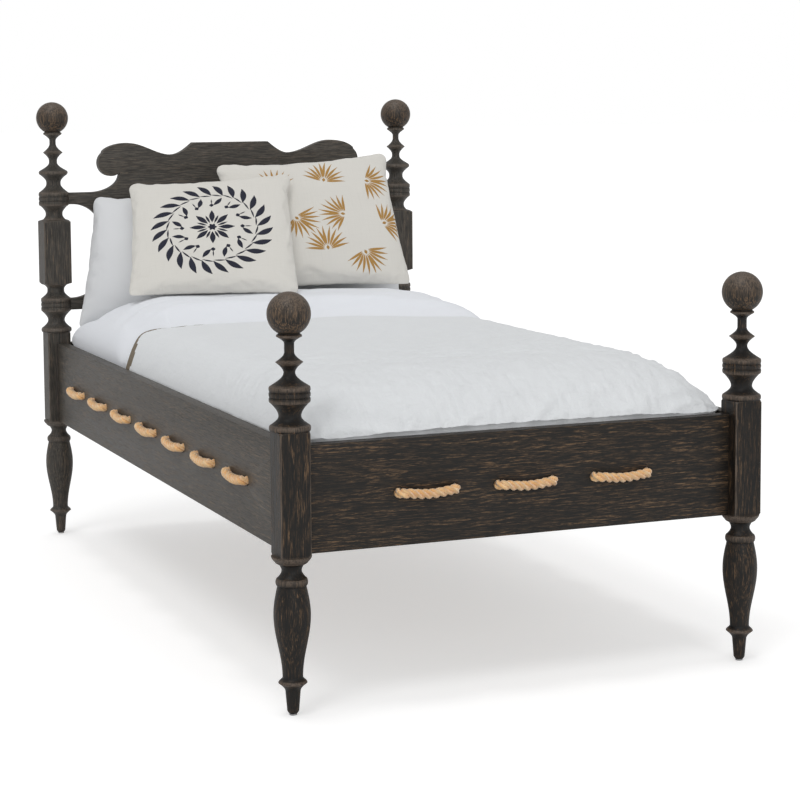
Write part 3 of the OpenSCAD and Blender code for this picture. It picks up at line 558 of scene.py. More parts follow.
def half_headboard(arm_x):
    """The right half of the outline, from the lower arm up to the middle of the crest."""
    top_z = top_arm_z + arm_h / 2
    low = low_arm_z + arm_h / 2
    sweep_x = panel_w / 2 + arm_sweep_x
    scroll_x, scroll_z = panel_w / 2 - 33, top_z + 83
    bank_x, bank_w, bank_h = scroll_x + 61, 85, 50
    hump_x, hump_z, hump_w, hump_h = scroll_x - 49, scroll_z + 17, 80, scroll_r + 1.6
    valley_x, valley_drop = crest_flat + 65, 34
    valley_z = top_z + crest_up - valley_drop
    points = [(arm_x, low_arm_z - arm_h / 2), (arm_x, low)]
    points += arc(sweep_x, low + arm_sweep_z, arm_sweep_x, arm_sweep_z, 270, 180, 20)
    points += arc(sweep_x, top_z - arm_h - arm_sweep_z, arm_sweep_x, arm_sweep_z, 180, 90, 20)
    points += [(arm_x, top_z - arm_h), (arm_x, top_z), (sweep_x, top_z)]
    points += arc(bank_x, top_z + bank_h, bank_w, bank_h, 270, 186, 20)
    points += arc(scroll_x, scroll_z, scroll_r, scroll_r, -135, 50, 36)
    points += arc(hump_x, hump_z, hump_w, hump_h, 26, 90, 16)
    ways = [k / 20 for k in range(1, 21)]
    points += [(hump_x + (valley_x - hump_x) * t,
                hump_z + hump_h + (valley_z - hump_z - hump_h) * EASES["swell"](t)) for t in ways]
    points += [(valley_x + (crest_flat - valley_x) * t, valley_z + valley_drop * EASES["flare"](t))
               for t in ways]
    return points


lo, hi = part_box("headboard_panel")
half = half_headboard(hi.x / mm)
outline = half + [(-x, z) for x, z in reversed(half)]
n = len(outline)
front_y = (lo.y + hi.y) / 2 - panel_t / 2 * mm
back_y = front_y + panel_t * mm
points = [(x * mm, y, z * mm) for y in (front_y, back_y) for x, z in outline]
faces = [tuple(range(n)), tuple(range(2 * n - 1, n - 1, -1))]
faces += [(k, n + k, n + (k + 1) % n, (k + 1) % n) for k in range(n)]
# The headboard gets a strong grey painted sheen.
headboard = mesh_object("shaped_headboard", points, faces,
                        oak("oak_headboard", "headboard_panel", "X", (120, 85, -40), 0.7, 0.62))
with editing(headboard) as shape:
    bmesh.ops.remove_doubles(shape, verts=shape.verts, dist=0.1 * mm)
    bmesh.ops.recalc_face_normals(shape, faces=shape.faces)
    wear_and_shade = shape.faces.layers.float.new("wear_and_shade")
    rims = [e for e in shape.edges
            if len(e.link_faces) == 2 and any(len(f.verts) > 4 for f in e.link_faces)]
    for f in rounded(shape, rims, 3, 4):
        f[wear_and_shade] = 0.7
smooth(headboard, 30)
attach(headboard, "bed_frame")
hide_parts("headboard_panel")


# ---- Fittings ---------------------------------------------------------------
# Zinc-plated hook and slot plates with countersunk screws join the side rails to
# the posts. Beech dowels hold the balls, and steel glides are driven into the legs.
def flecked(name, dark, light, rough, metal, size):
    """A finish whose colour and gloss vary softly, for plated steel and plain wood."""
    material, tree, shader = new_material(name)
    cloud = noise_map(tree, place_in(tree), 1 / size, 5)
    feed(tree, shader, {"Base Color": mixed(tree, mask(tree, cloud, 0.35, 0.65), dark, light),
                        "Roughness": mask(tree, cloud, 0.3, 0.7, rough - 0.08, rough + 0.08),
                        "Metallic": metal, "Normal": relief(tree, cloud, 0.15, 0.2 * mm)})
    return material


zinc = flecked("zinc_plate", (0.42, 0.42, 0.44, 1), (0.60, 0.60, 0.60, 1), 0.36, 1.0, 0.006)
beech = flecked("beech", (0.50, 0.34, 0.20, 1), (0.62, 0.45, 0.28, 1), 0.55, 0.0, 0.004)
for node, finish, slot in (("hook_plates", zinc, "steel"), ("slot_plates", zinc, "steel"),
                           ("plate_screws", zinc, "steel"), ("leg_glides", zinc, "steel"),
                           ("finial_dowels", beech, "oak")):
    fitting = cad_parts[node]
    fitting.data.materials.clear()
    fitting.data.materials.append(finish)


# ---- Rope -------------------------------------------------------------------
# Three-strand manila, laid to the left. Seven loops run across the bed and three
# along it; each goes out through one hole of a rail, hangs a little, and comes back.
rope_d, rope_gap, sag, lay, ring_step = 22, 0.4, 5, 50, 5
strand_share = 0.51
rope_r = rope_d / 2
side_stitches, side_pitch, side_span, side_shift = 7, 235, 125, 32
end_stitches, end_pitch, end_span = 3, 228, 128
lo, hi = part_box("side_rail_right")
side_in, side_out = lo.x / mm, hi.x / mm
lo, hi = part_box("foot_rail")
end_in, end_out = -hi.y / mm, -lo.y / mm
hole_up = 111
rope_z = rail_z + hole_up
weave = rope_d + rope_gap
pair_gap = side_pitch - side_span
run_in, level_run = 70, 8


def wave(tree, phase):
    """A sine from 0 to 1."""
    return calc(tree, "MULTIPLY_ADD", calc(tree, "SINE", phase), 0.5, 0.5)


def manila():
    material, tree, shader = new_material("manila_rope")
    place = place_in(tree)
    cloud = noise_map(tree, place, 60, 4)
    fine = noise_map(tree, place, 900, 2)
    yarns, yarn_pitch = 9, 0.034
    phase = calc(tree, "ADD", calc(tree, "MULTIPLY", stored(tree, "around"), 2 * math.pi * yarns),
                 calc(tree, "MULTIPLY", stored(tree, "along"), -2 * math.pi * yarns / yarn_pitch))
    ridge = wave(tree, calc(tree, "ADD", phase, calc(tree, "MULTIPLY", cloud, 5.0)))
    ridge = calc(tree, "MULTIPLY", ridge, mask(tree, fine, 0.2, 0.75, 0.55, 1.0))
    # Painted shade: the yarns' grooves are coloured a darker orange than their crests.
    colour = mixed(tree, ridge, (0.90, 0.44, 0.15, 1), (1.0, 0.69, 0.34, 1))
    colour = mixed(tree, mask(tree, cloud, 0.40, 0.68, 0, 0.45), colour, (1.0, 0.80, 0.49, 1))
    feed(tree, shader, {"Base Color": colour, "Roughness": 0.75, "Specular IOR Level": 0.3,
                        "Sheen Weight": 0.8, "Normal": relief(tree, ridge, 0.8, 0.7 * mm)})
    return material


rope_finish = manila()


def marked(group, geometry, name, value):
    """Stores a value on each point of a curve, under the name by which the rope's finish reads it."""
    return add(group, "GeometryNodeStoreNamedAttribute",
               {"Geometry": geometry, "Name": name, "Value": value}, data_type="FLOAT").outputs[0]


def round_profile(group, radius, sides):
    circle = add(group, "GeometryNodeCurvePrimitiveCircle",
                 {"Resolution": sides, "Radius": radius}).outputs[0]
    return marked(group, circle, "around", add(group, "GeometryNodeSplineParameter").outputs["Factor"])


def leave_tube(group, line, profile, finish, capped):
    """Sweeps a profile along a line, smooth and in its finish, as what the group gives."""
    tube = add(group, "GeometryNodeCurveToMesh",
               {"Curve": line, "Profile Curve": profile, "Fill Caps": capped}).outputs[0]
    for kind in ("GeometryNodeSetShadeSmooth", "GeometryNodeRealizeInstances"):
        tube = add(group, kind, {"Geometry": tube}).outputs[0]
    tube = add(group, "GeometryNodeSetMaterial", {"Geometry": tube, "Material": finish}).outputs[0]
    add(group, "NodeGroupOutput", {"Geometry": tube})


def laid_rope_tree():
    """Lays three strands round a closed path; Step is how far apart the rings are."""
    group, given = node_group("laid_rope", "GeometryNodeTree",
                              {"Geometry": "Geometry", "Diameter": "Float", "Lay": "Float",
                               "Step": "Float", "Material": "Material"}, {"Geometry": "Geometry"})
    line = add(group, "GeometryNodeMeshToCurve", {"Mesh": given["Geometry"]}).outputs[0]
    line = add(group, "GeometryNodeResampleCurve", {"Curve": line, "Length": given["Step"]},
               mode="LENGTH").outputs[0]
    line = add(group, "GeometryNodeSetCurveNormal", {"Curve": line}, mode="Z_UP").outputs[0]
    spot = add(group, "GeometryNodeSplineParameter").outputs
    whole = add(group, "GeometryNodeCurveLength", {"Curve": line}).outputs[0]
    thirds = calc(group, "DIVIDE", calc(group, "MULTIPLY", whole, 3.0), given["Lay"])
    thirds = calc(group, "MULTIPLY", spot["Factor"], calc(group, "ROUND", thirds))
    twist = calc(group, "MULTIPLY", thirds, 2 * math.pi / 3)
    line = add(group, "GeometryNodeSetCurveTilt", {"Curve": line, "Tilt": twist}).outputs[0]
    line = marked(group, line, "along", spot["Length"])
    strand_r = calc(group, "MULTIPLY", given["Diameter"], strand_share / 2)
    reach = calc(group, "SUBTRACT", calc(group, "MULTIPLY", given["Diameter"], 0.5), strand_r)
    circle = round_profile(group, strand_r, 11)
    strands = add(group, "GeometryNodeJoinGeometry")
    for k in range(3):
        a = 2 * math.pi * k / 3
        shift = add(group, "ShaderNodeCombineXYZ",
                    {0: calc(group, "MULTIPLY", reach, math.cos(a)),
                     1: calc(group, "MULTIPLY", reach, math.sin(a))}).outputs[0]
        strand = add(group, "GeometryNodeTransform",
                     {"Geometry": circle, "Translation": shift, "Rotation": (0, 0, a)}).outputs[0]
        feed(group, strands, {0: strand})
    leave_tube(group, line, strands.outputs[0], given["Material"], False)
    return group


def evaluated(piece):
    """The mesh that a piece's modifiers make of it."""
    return bpy.data.meshes.new_from_object(piece.evaluated_get(bpy.context.evaluated_depsgraph_get()))


def grown(name, base, tree_group, inputs):
    """Turns a base mesh into what a Geometry Nodes tree makes of it, as a plain mesh object."""
    maker = base.modifiers.new("make", "NODES")
    maker.node_group = tree_group
    sockets = {s.name: s.identifier for s in tree_group.interface.items_tree if s.in_out == "INPUT"}
    for key, value in inputs.items():
        maker[sockets[key]] = value
    bpy.context.view_layer.update()
    made = bpy.data.objects.new(name, evaluated(base))
    made.data.name = name
    bpy.data.objects.remove(base)
    scene.collection.objects.link(made)
    return made


laid_rope = laid_rope_tree()


def stitch(out, half_span):
    """Out through one hole, down in a shallow sag and back in: (outward, along the rail, height)."""
    u, bend = out + rope_gap + rope_r, rope_r + 1
    c = half_span - bend
    down = [k / 18 for k in range(1, 18)]
    turns = [math.pi / 2 * k / 8 for k in range(9)]
    return ([(u - bend + bend * math.sin(a), c + bend * math.cos(a), 0) for a in turns]
            + [(u, c - 2 * c * t, -sag * math.sin(math.pi * t)) for t in down]
            + [(u - bend + bend * math.cos(a), -c - bend * math.sin(a), 0) for a in turns])


def cross_loop(y):
    end = stitch(side_out, side_span / 2)
    return [(u, y + v, rope_z + w) for u, v, w in end] + [(-u, y - v, rope_z + w) for u, v, w in end]


def long_run(sign):
    """One run along the bed, over one pair of cross ropes and under the next: (along, height)."""
    stops = [(-end_in + run_in, 0)]
    for k in range(side_stitches + 1):
        y = side_shift + (k - side_stitches / 2) * side_pitch
        z = weave * (sign if k % 2 == 0 else -sign)
        first = pair_gap / 2 - level_run if k == 0 else -pair_gap / 2 - level_run
        last = -pair_gap / 2 + level_run if k == side_stitches else pair_gap / 2 + level_run
        stops += [(y + first, z), (y + last, z)]
    return stops + [(end_in - run_in, 0)]


def long_loop(x, sign):
    end = stitch(end_out, end_span / 2)
    half_w = end_span / 2
    return ([(x - v, u, rope_z + w) for u, v, w in end]
            + [(x + half_w, y, rope_z + z) for y, z in reversed(long_run(sign))]
            + [(x + v, -u, rope_z + w) for u, v, w in end]
            + [(x - half_w, y, rope_z + z) for y, z in long_run(-sign)])


def rope(name, points, node):
    """A loop of rope along a closed path of points in millimetres."""
    n = len(points)
    path = mesh_object(name + "_path", [Vector(p) * mm for p in points], (),
                       edges=[(k, (k + 1) % n) for k in range(n)])
    made = grown(name, path, laid_rope,
                 {"Diameter": rope_d * mm, "Lay": lay * mm, "Step": ring_step * mm,
                  "Material": rope_finish})
    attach(made, "bed_frame")
    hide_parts(node)


side_middles = [side_shift + (k - (side_stitches - 1) / 2) * side_pitch for k in range(side_stitches)]
end_middles = [(k - (end_stitches - 1) / 2) * end_pitch for k in range(end_stitches)]
for k, y in enumerate(side_middles):
    rope(f"cross_rope_{k + 1}", cross_loop(y), "cross_ropes")
for k, x in enumerate(end_middles):
    rope(f"long_rope_{k + 1}", long_loop(x, 1 if k % 2 == 0 else -1), "long_ropes")


# ---- Knots ------------------------------------------------------------------
# A barrel knot of four wraps joins the ends of each loop, just inside the rail.
knot_l, knot_t, knot_wraps, knot_rest, wrap_steps = 46, 9, 4, 12, 22


def cord_tree():
    """A plain twisted cord along an open path, closed at both ends."""
    group, given = node_group("knot_cord", "GeometryNodeTree",
                              {"Geometry": "Geometry", "Radius": "Float", "Material": "Material"},
                              {"Geometry": "Geometry"})
    line = add(group, "GeometryNodeMeshToCurve", {"Mesh": given["Geometry"]}).outputs[0]
    line = marked(group, line, "along", add(group, "GeometryNodeSplineParameter").outputs["Length"])
    leave_tube(group, line, round_profile(group, given["Radius"], 12), given["Material"], True)
    return group


wrap_r = rope_r + rope_gap + knot_t / 2
knot_points, knot_edges = [], []
rounds = [k / wrap_steps for k in range(knot_wraps * wrap_steps + 1)]
knot_starts = [("side", y - side_span / 2) for y in side_middles]
knot_starts += [("end", x - end_span / 2) for x in end_middles]
for kind, at in knot_starts:
    first = len(knot_points)
    for t in rounds:
        depth = knot_rest + knot_t / 2 + (knot_l - knot_t) * t / knot_wraps
        p, q = wrap_r * math.cos(2 * math.pi * t), rope_z + wrap_r * math.sin(2 * math.pi * t)
        point = (side_in - depth, at + p, q) if kind == "side" else (at + p, -end_in + depth, q)
        knot_points.append(point)
    knot_edges += [(first + k, first + k + 1) for k in range(len(rounds) - 1)]
knot_paths = mesh_object("knot_paths", [Vector(p) * mm for p in knot_points], (), edges=knot_edges)
knots = grown("barrel_knots", knot_paths, cord_tree(),
              {"Radius": knot_t / 2 * mm, "Material": rope_finish})
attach(knots, "bed_frame")
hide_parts("rope_knots")


# ---- Mattress ---------------------------------------------------------------
# A sprung mattress in striped cotton ticking, corded round both edges. It lies on
# the net of rope.
def woven_cloth():
    """Shade and relief of a plain weave with thicker threads here and there."""
    group, given = node_group("woven_cloth", "ShaderNodeTree",
                              {"Vector": "Vector", "Thread": "Float", "Slub": "Float",
                               "Crease": "Float"}, {"Shade": "Float", "Height": "Float"})
    apart = add(group, "ShaderNodeSeparateXYZ", {0: given["Vector"]}).outputs
    turns = calc(group, "DIVIDE", 2 * math.pi, given["Thread"])
    weave_x = calc(group, "SINE", calc(group, "MULTIPLY", apart[0], turns))
    weave_y = calc(group, "SINE", calc(group, "MULTIPLY", apart[1], turns))
    weave_h = calc(group, "MULTIPLY_ADD", calc(group, "MULTIPLY", weave_x, weave_y), 0.5, 0.5)

    def threads(x, y):
        return noise_map(group, scaled(group, given["Vector"], (x, y, 40)), 1.0, 3)

    slubs_x, slubs_y = (mask(group, threads(*scale), 0.52, 0.72) for scale in ((14, 520), (520, 14)))
    slubs = calc(group, "MULTIPLY", calc(group, "ADD", slubs_x, slubs_y), given["Slub"])
    creased = noise_map(group, given["Vector"], 30, 5, 0.6, 0.8)
    off_crease = calc(group, "ABSOLUTE", calc(group, "SUBTRACT", creased, 0.5))
    creases = calc(group, "MULTIPLY", calc(group, "SUBTRACT", 1.0, mask(group, off_crease, 0.0, 0.09)),
                   given["Crease"])
    shade = calc(group, "ADD", calc(group, "MULTIPLY", slubs, 0.5),
                 calc(group, "MULTIPLY", weave_h, 0.25))
    height = calc(group, "ADD", calc(group, "ADD", slubs, weave_h),
                  calc(group, "MULTIPLY", creases, 6.0))
    add(group, "NodeGroupOutput", {"Shade": shade, "Height": height})
    return group


woven = woven_cloth()


def weave_at(tree, place, thread, slub, crease=0.0):
    return add(tree, "ShaderNodeGroup",
               {"Vector": place, "Thread": thread, "Slub": slub, "Crease": crease},
               node_tree=woven).outputs


def cloth(name, light, dark, thread, slub, crease=0.0, own_uv=False):
    """A woven cloth; with its own UV the weave follows the piece, in metres."""
    material, tree, shader = new_material(name)
    place = place_in(tree, "UV" if own_uv else "Object")
    effect = weave_at(tree, place, thread, slub, crease)
    cloud = noise_map(tree, place, 7, 3)
    tone = mixed(tree, effect["Shade"], light, dark)
    tone = mixed(tree, mask(tree, cloud, 0.35, 0.7, 0.0, 0.10), tone, dark)
    feed(tree, shader, {"Base Color": tone, "Roughness": mask(tree, cloud, 0.3, 0.7, 0.82, 0.92),
                        "Specular IOR Level": 0.25, "Sheen Weight": 0.15,
                        "Normal": relief(tree, effect["Height"], 0.5, 0.25 * mm)})
    return material


def ticking():
    material, tree, shader = new_material("ticking")
    stripe_pitch = 0.022
    place = place_in(tree)
    apart = add(tree, "ShaderNodeSeparateXYZ", {0: place}).outputs
    across = calc(tree, "FRACT", calc(tree, "DIVIDE", apart[0], stripe_pitch))
    band = calc(tree, "ABSOLUTE", calc(tree, "SUBTRACT", across, 0.5))
    thin = calc(tree, "ABSOLUTE", calc(tree, "SUBTRACT", band, 0.27))
    striped = calc(tree, "MAXIMUM", mask(tree, band, 0.11, 0.13, 1, 0),
                   mask(tree, thin, 0.02, 0.035, 1, 0))
    striped = calc(tree, "MULTIPLY", striped, 0.85)
    effect = weave_at(tree, place, 1.1 * mm, 0.4)
    colour = mixed(tree, striped, (0.74, 0.70, 0.62, 1), (0.20, 0.26, 0.36, 1))
    colour = mixed(tree, calc(tree, "MULTIPLY", effect["Shade"], 0.3), colour, (0.3, 0.28, 0.25, 1))
    feed(tree, shader, {"Base Color": colour, "Roughness": 0.85,
                        "Normal": relief(tree, effect["Height"], 0.4, 0.3 * mm)})
    return material


corner_steps, straight_steps = 14, 60


def rounded_outline(half_w, half_l, r):
    """A rectangle with round corners, counted the same way whatever its size."""
    points = []
    for cx, cy, first in ((1, 1, 0), (-1, 1, 90), (-1, -1, 180), (1, -1, 270)):
        centre = (cx * (half_w - r), cy * (half_l - r))
        points += arc(*centre, r, r, first, first + 90, corner_steps)
        across = first in (0, 180)
        run = (2 * (half_w - r), 0) if across else (0, 2 * (half_l - r))
        away = -1 if first in (0, 90) else 1
        x, y = points[-1]
        points += [(x + away * run[0] * k / straight_steps, y + away * run[1] * k / straight_steps)
                   for k in range(1, straight_steps)]
    return points


def tube_object(name, rings, material):
    """A closed tube through rings of points in millimetres."""
    points = [Vector(p) * mm for ring in rings for p in ring]
    return mesh_object(name, points, closed_tube(len(rings), len(rings[0])), material)


def skirted(name, profile, material):
    """A form swept round the mattress's outline; the profile is (outward, height) from the bottom up."""
    return tube_object(name, [
        [(x, y, z) for x, y in rounded_outline(mattress_w / 2 + out, mattress_l / 2 + out,
                                               max(mattress_r + out, 8))]
        for out, z in profile], material)


def clamp(value):
    return min(1, max(0, value))


def tucked(x, y):
    """How far the duvet, tucked in beside the pillows, presses the bed's upper edge down."""
    return 40 * (clamp((abs(x) - 415) / 82) ** 2 * clamp((y - 520) / 400))


def pressed(x, y, z):
    return tucked(x, y) * clamp((z - 565) / 46)


lo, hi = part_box("mattress")
mattress_w, mattress_l, mattress_r = (hi.x - lo.x) / mm, (hi.y - lo.y) / mm, 105
mattress_z, mattress_top = lo.z / mm, hi.z / mm
cord_r = 4
profile = [(-60, mattress_z), (-42, mattress_z + 3), (-31, mattress_z + 11)]
profile += [(-25 + cord_r * math.cos(a), mattress_z + 21 + cord_r * math.sin(a))
            for a in (math.radians(k) for k in range(-100, 71, 24))]
profile += [(-19, mattress_z + 28), (-10, mattress_z + 42), (-4, mattress_z + 56),
            (-0.6, mattress_z + 66)]
profile += [(out, mattress_top + mattress_z - z) for out, z in reversed(profile)]
mattress = skirted("ticking_mattress", profile, ticking())
for v in mattress.data.vertices:
    v.co.z -= pressed(*(v.co / mm)) * mm
smooth(mattress, 50)
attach(mattress, "made_mattress")
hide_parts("mattress")


# ---- Fitted sheet -----------------------------------------------------------
# A white cotton percale sheet, cut with boxed corners and drawn under by elastic,
# stretched over the mattress. Short folds run up from the hem at its corners.
lo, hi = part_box("fitted_sheet")
hem_z, sheet_top = lo.z / mm, hi.z / mm
sheet_out, sheet_round, sheet_cloth = 2.3, 55, 1.1
percale = cloth("percale_white", (0.84, 0.85, 0.88, 1), (0.76, 0.77, 0.80, 1), 0.6 * mm, 0.15, 0.12)
edge_from = sheet_top - 60
outer = [(sheet_out - 0.8, hem_z), (sheet_out, hem_z + 3), (sheet_out - 0.3, hem_z + 20),
         (sheet_out - 0.3, edge_from)]
outer += [(sheet_out - sheet_round + sheet_round * math.sin(a),
           sheet_top - sheet_round + sheet_round * math.cos(a))
          for a in (math.radians(k) for k in range(80, -1, -10))]
outer += [(out, sheet_top) for out in (-60, -75, -90, -120, -200, -300)]
inner = [(out - sheet_cloth, z - (sheet_cloth if out < -9 else 0)) for out, z in outer]
inner = [(out, min(z, sheet_top - sheet_cloth)) for out, z in inner]
inner[0] = (inner[0][0], hem_z)
fitted = skirted("percale_fitted_sheet", inner[::-1] + outer, percale)
corner_x, corner_y = mattress_w / 2 - mattress_r, mattress_l / 2 - mattress_r
for v in fitted.data.vertices:
    x, y, z = (c / mm for c in v.co)
    if z < edge_from and abs(x) > corner_x and abs(y) > corner_y:
        low = 1 - (z - hem_z) / (edge_from - hem_z)
        pleat = math.sin(math.atan2(abs(y) - corner_y, abs(x) - corner_x) * 26) * low * 0.55
        v.co += Vector((math.copysign(pleat, x), math.copysign(pleat, y), 0)) * mm
    v.co.z -= pressed(x, y, z) * mm
smooth(fitted, 60)
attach(fitted, "made_mattress")
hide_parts("fitted_sheet")


# ---- Duvet ------------------------------------------------------------------
# A white cotton duvet with a soft, thin filling. It lies under the coverlet, and
# its head end is folded back double in front of the pillows. There it drapes over
# the mattress's edges, and the hem of its cover is pushed down inside the rails.
def move_to(piece, places):
    for v, place in zip(piece.data.vertices, places):
        v.co = place
    piece.data.update()


def coat(piece, push):
    """Moves each point along its normal by what push says for its place, in millimetres."""
    piece.data.update()
    move_to(piece, [v.co + v.normal * push(v.co / mm, v.normal) * mm for v in piece.data.vertices])


def fade(value, low, high):
    t = clamp((value - low) / (high - low))
    return t * t * (3 - 2 * t)


def bow(t):
    """Height of a round arch of height 1, from its middle at 0 to its foot at 1."""
    return math.sqrt(max(0, 1 - t ** 2))


def hills(p, size, stretch=(1, 1, 1), seed=0.0):
    """Smooth noise from -1 to 1 whose hills are about so many millimetres apart."""
    return noise.noise(Vector((p[0] * stretch[0], p[1] * stretch[1], p[2] * stretch[2])) / size
                       + Vector((seed, seed * 1.7, seed * 2.3)))


def ridges(p, size, stretch=(1, 1, 1), seed=0.0):
    """Creases: thin where the smooth noise passes zero, 1 on the crease."""
    return 1 - min(1, abs(hills(p, size, stretch, seed)) * 2.6)


cover_x, cover_y = side_in - 0.3, -end_in + 0.3
cover_crown, cover_up, cover_drop = 10, 60, 90
edge_x, edge_y, edge_z, cover_r, cover_spread = 125, 290, 107, 62, 210
fold_y = 205


def cover_height(x, y):
    """Height of the coverlet's face: crowned, with a border that rounds down to the rails."""
    low, high = 0.0, 1.0
    for step in range(22):
        q = (low + high) / 2
        r = cover_r + cover_spread * q
        dx = abs(x) - (cover_x - edge_x * q - r)
        dy = cover_y + edge_y * q + r - y
        within = math.hypot(dx, dy) <= r if dx > 0 and dy > 0 else dx <= r and dy <= r
        low, high = (q, high) if within else (low, q)
    drop = edge_z * (0.7 * (1 - low) ** 4.2 + 0.3 * (1 - low) ** 1.8)
    return sheet_top + cover_up - cover_crown * (x / cover_x) ** 2 - drop


def head_edge(x):
    """Where the coverlet's top edge crosses the bed: up at the left rail and down on the right."""
    wave = 62 * fade(x, -560, -330) * fade(-x, -330, -40) + 14 * math.sin(x / 74)
    return fold_y + wave + 135 * fade(-x, 385, 470) - 45 * fade(x, 330, 470) * fade(-x, -520, -470)


lo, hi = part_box("duvet")
duvet_top, duvet_head = hi.z / mm, hi.y / mm + 66
head_round, drape, lip_z = 140, 185, 550
share_steps = 56


def duvet_section(y):
    """One slice across the duvet: over the top from the left hem to the right, and back underneath."""
    folded = fade(y, 150, 236)
    ending = bow(clamp((y - duvet_head + head_round) / head_round))
    full = ending * bow(clamp((-838 - y) / 30 + 1))
    half = 440 + 59.6 * folded + 5.4 * fade(y, 372, 400) - 10 * (1 - ending)
    hem = sheet_top + 1 - (sheet_top + 1 - lip_z) * folded * min(1, full * 1.4)
    over, under = [], []
    for k in range(-share_steps, share_steps + 1):
        t = k / share_steps
        x = half * math.copysign(math.sin(abs(t) * math.pi / 2) ** 0.92, t)
        bed = sheet_top + 1.2
        if abs(x) > cover_x - 63:
            bed -= sheet_round * (1 - bow((abs(x) - cover_x + 63) / sheet_round)) * folded
        reach = 95 * fade(abs(x), 380, 470) + 125 * fade(abs(x), 468, 498)
        along = y + reach * fade(y, 400, duvet_head)
        bed -= pressed(x, along, bed)
        y_edge = head_edge(x)
        low_z = cover_height(x, y) - 8.4 - 2.5 * fade(abs(x), 430, 490)
        high_z = duvet_top - cover_crown * (x / cover_x) ** 2
        high_z -= (high_z - 578) * (1 - bow(1 - clamp((half - abs(x)) / drape))) * folded
        z = low_z + (high_z - low_z) * fade(y, y_edge - 4, y_edge + 120)
        over.append((x, along, max(bed + 1.5, bed + (z - bed) * full)))
        under.append((x * (1 - 2.2 / half), along, bed))
    hem = min(hem, over[0][2] - 1, under[0][2] - 1)
    rising, falling = (0, 0.25, 0.5, 0.75), (0.75, 0.5, 0.25, 0)

    def lip(top, shares):
        return [(*top[:2], hem + (top[2] - hem) * share) for share in shares]

    return (lip(over[0], rising) + over + lip(over[-1], falling)
            + lip(under[-1], rising) + under[::-1] + lip(under[0], falling))


slice_step, duvet_foot = 7.5, -868
rounded_from = duvet_head - head_round
slice_n = math.ceil((rounded_from - duvet_foot) / slice_step)
slices = [duvet_foot + slice_step * k for k in range(slice_n)]
slices += [rounded_from + head_round * math.sin(math.pi / 2 * k / 16) for k in range(17)]
duvet_cotton = cloth("duvet_cotton", (0.80, 0.82, 0.86, 1), (0.72, 0.74, 0.78, 1), 0.6 * mm, 0.12, 0.1)
duvet = tube_object("folded_cotton_duvet", [duvet_section(y) for y in slices], duvet_cotton)
with editing(duvet) as shape:
    bmesh.ops.recalc_face_normals(shape, faces=shape.faces)


def duvet_ripple(p, normal):
    shown = fade(p[1], head_edge(p[0]) + 4, head_edge(p[0]) + 60)
    shown *= fade(-p[1], -duvet_head - 200, -duvet_head + 10)
    if normal.z < 0.05 or shown == 0:
        return 0
    near_side = fade(505 - abs(p[0]), 4, 60)
    long_folds = hills(p, 210, (1, 2.0, 1), 3.1) * 6.5
    small = hills(p, 70, (1, 1.5, 1), 5.2) * 2.2
    crease = ridges(p, 150, (0.6, 1.7, 1), 8.4) ** 3 * 3.0
    pulls = ridges(p, 90, (1.6, 0.5, 0.5), 2.6) ** 2 * 2.4 * fade(abs(p[0]), 330, 440)
    return (long_folds + small - crease + pulls - 3) * shown * near_side


coat(duvet, duvet_ripple)
smooth(duvet, 60)
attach(duvet, "folded_duvet")
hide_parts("duvet")


# ---- Coverlet ---------------------------------------------------------------
# A stone-washed linen coverlet, tan on its reverse. It is spread over the duvet and
# tucked down between the mattress and the rails on three sides, so it is drawn
# smooth in the middle and crinkles towards the foot.
# Near the left rail, a strip of its top face along the head edge is painted in the reverse's dark tan.
# It stands for the reverse and for the painted shadow of the gap under the edge.
fold_slant, cloth_t, sink = 100, 3.4, 1.4
cover_pitch, skirt_steps = 6.2, 9


def edge_line(limit, edge, edge_steps):
    """Stations of one border, from the hem inwards: (place, how far round the edge, 2 at the hem)."""
    line = [(limit, 2 - k / skirt_steps) for k in range(skirt_steps)]
    line += [(limit - edge * (1 - math.sin(math.pi / 2 * t)), t)
             for t in (1 - k / edge_steps for k in range(edge_steps))]
    return line


half_columns = edge_line(cover_x, edge_x, 20)
flat_half = cover_x - edge_x
flat_columns = round(flat_half / cover_pitch)
columns = [(-x, t) for x, t in half_columns]
columns += [(flat_half * (k / flat_columns), 0) for k in range(-flat_columns, flat_columns + 1)]
columns += list(reversed(half_columns))
rows = [(-y, t) for y, t in edge_line(-cover_y, edge_y, 34)]
flat_foot = cover_y + edge_y
flat_rows = round((fold_y - 18 - flat_foot) / cover_pitch)
rows += [(flat_foot + (fold_y - 18 - flat_foot) * k / flat_rows, 0) for k in range(flat_rows + 1)]
rows += [(fold_y - d, 0) for d in (14, 11, 8, 5.5, 3, 1, 0)]


def cover_point(column, row):
    (x, tx), (y, ty) = column, row
    t = max(tx, ty)
    head = head_edge(x) + fold_slant * max(tx - 1, 0)
    y = cover_y + (y - cover_y) * (head - cover_y) / (fold_y - cover_y)
    u = max(0, 1 - (cover_x - abs(x)) / cover_r)
    v = max(0, 1 - (y - cover_y) / cover_r)
    if u > 0 and v > 0:
        x = math.copysign(cover_x - cover_r * (1 - u * math.sqrt(1 - v * v / 2)), x)
        y = cover_y + cover_r * (1 - v * math.sqrt(1 - u * u / 2))
    z = cover_height(x, y)
    if t > 1:
        z += (sheet_top - cover_drop - z) * (t - 1)
    return (x, y, z)


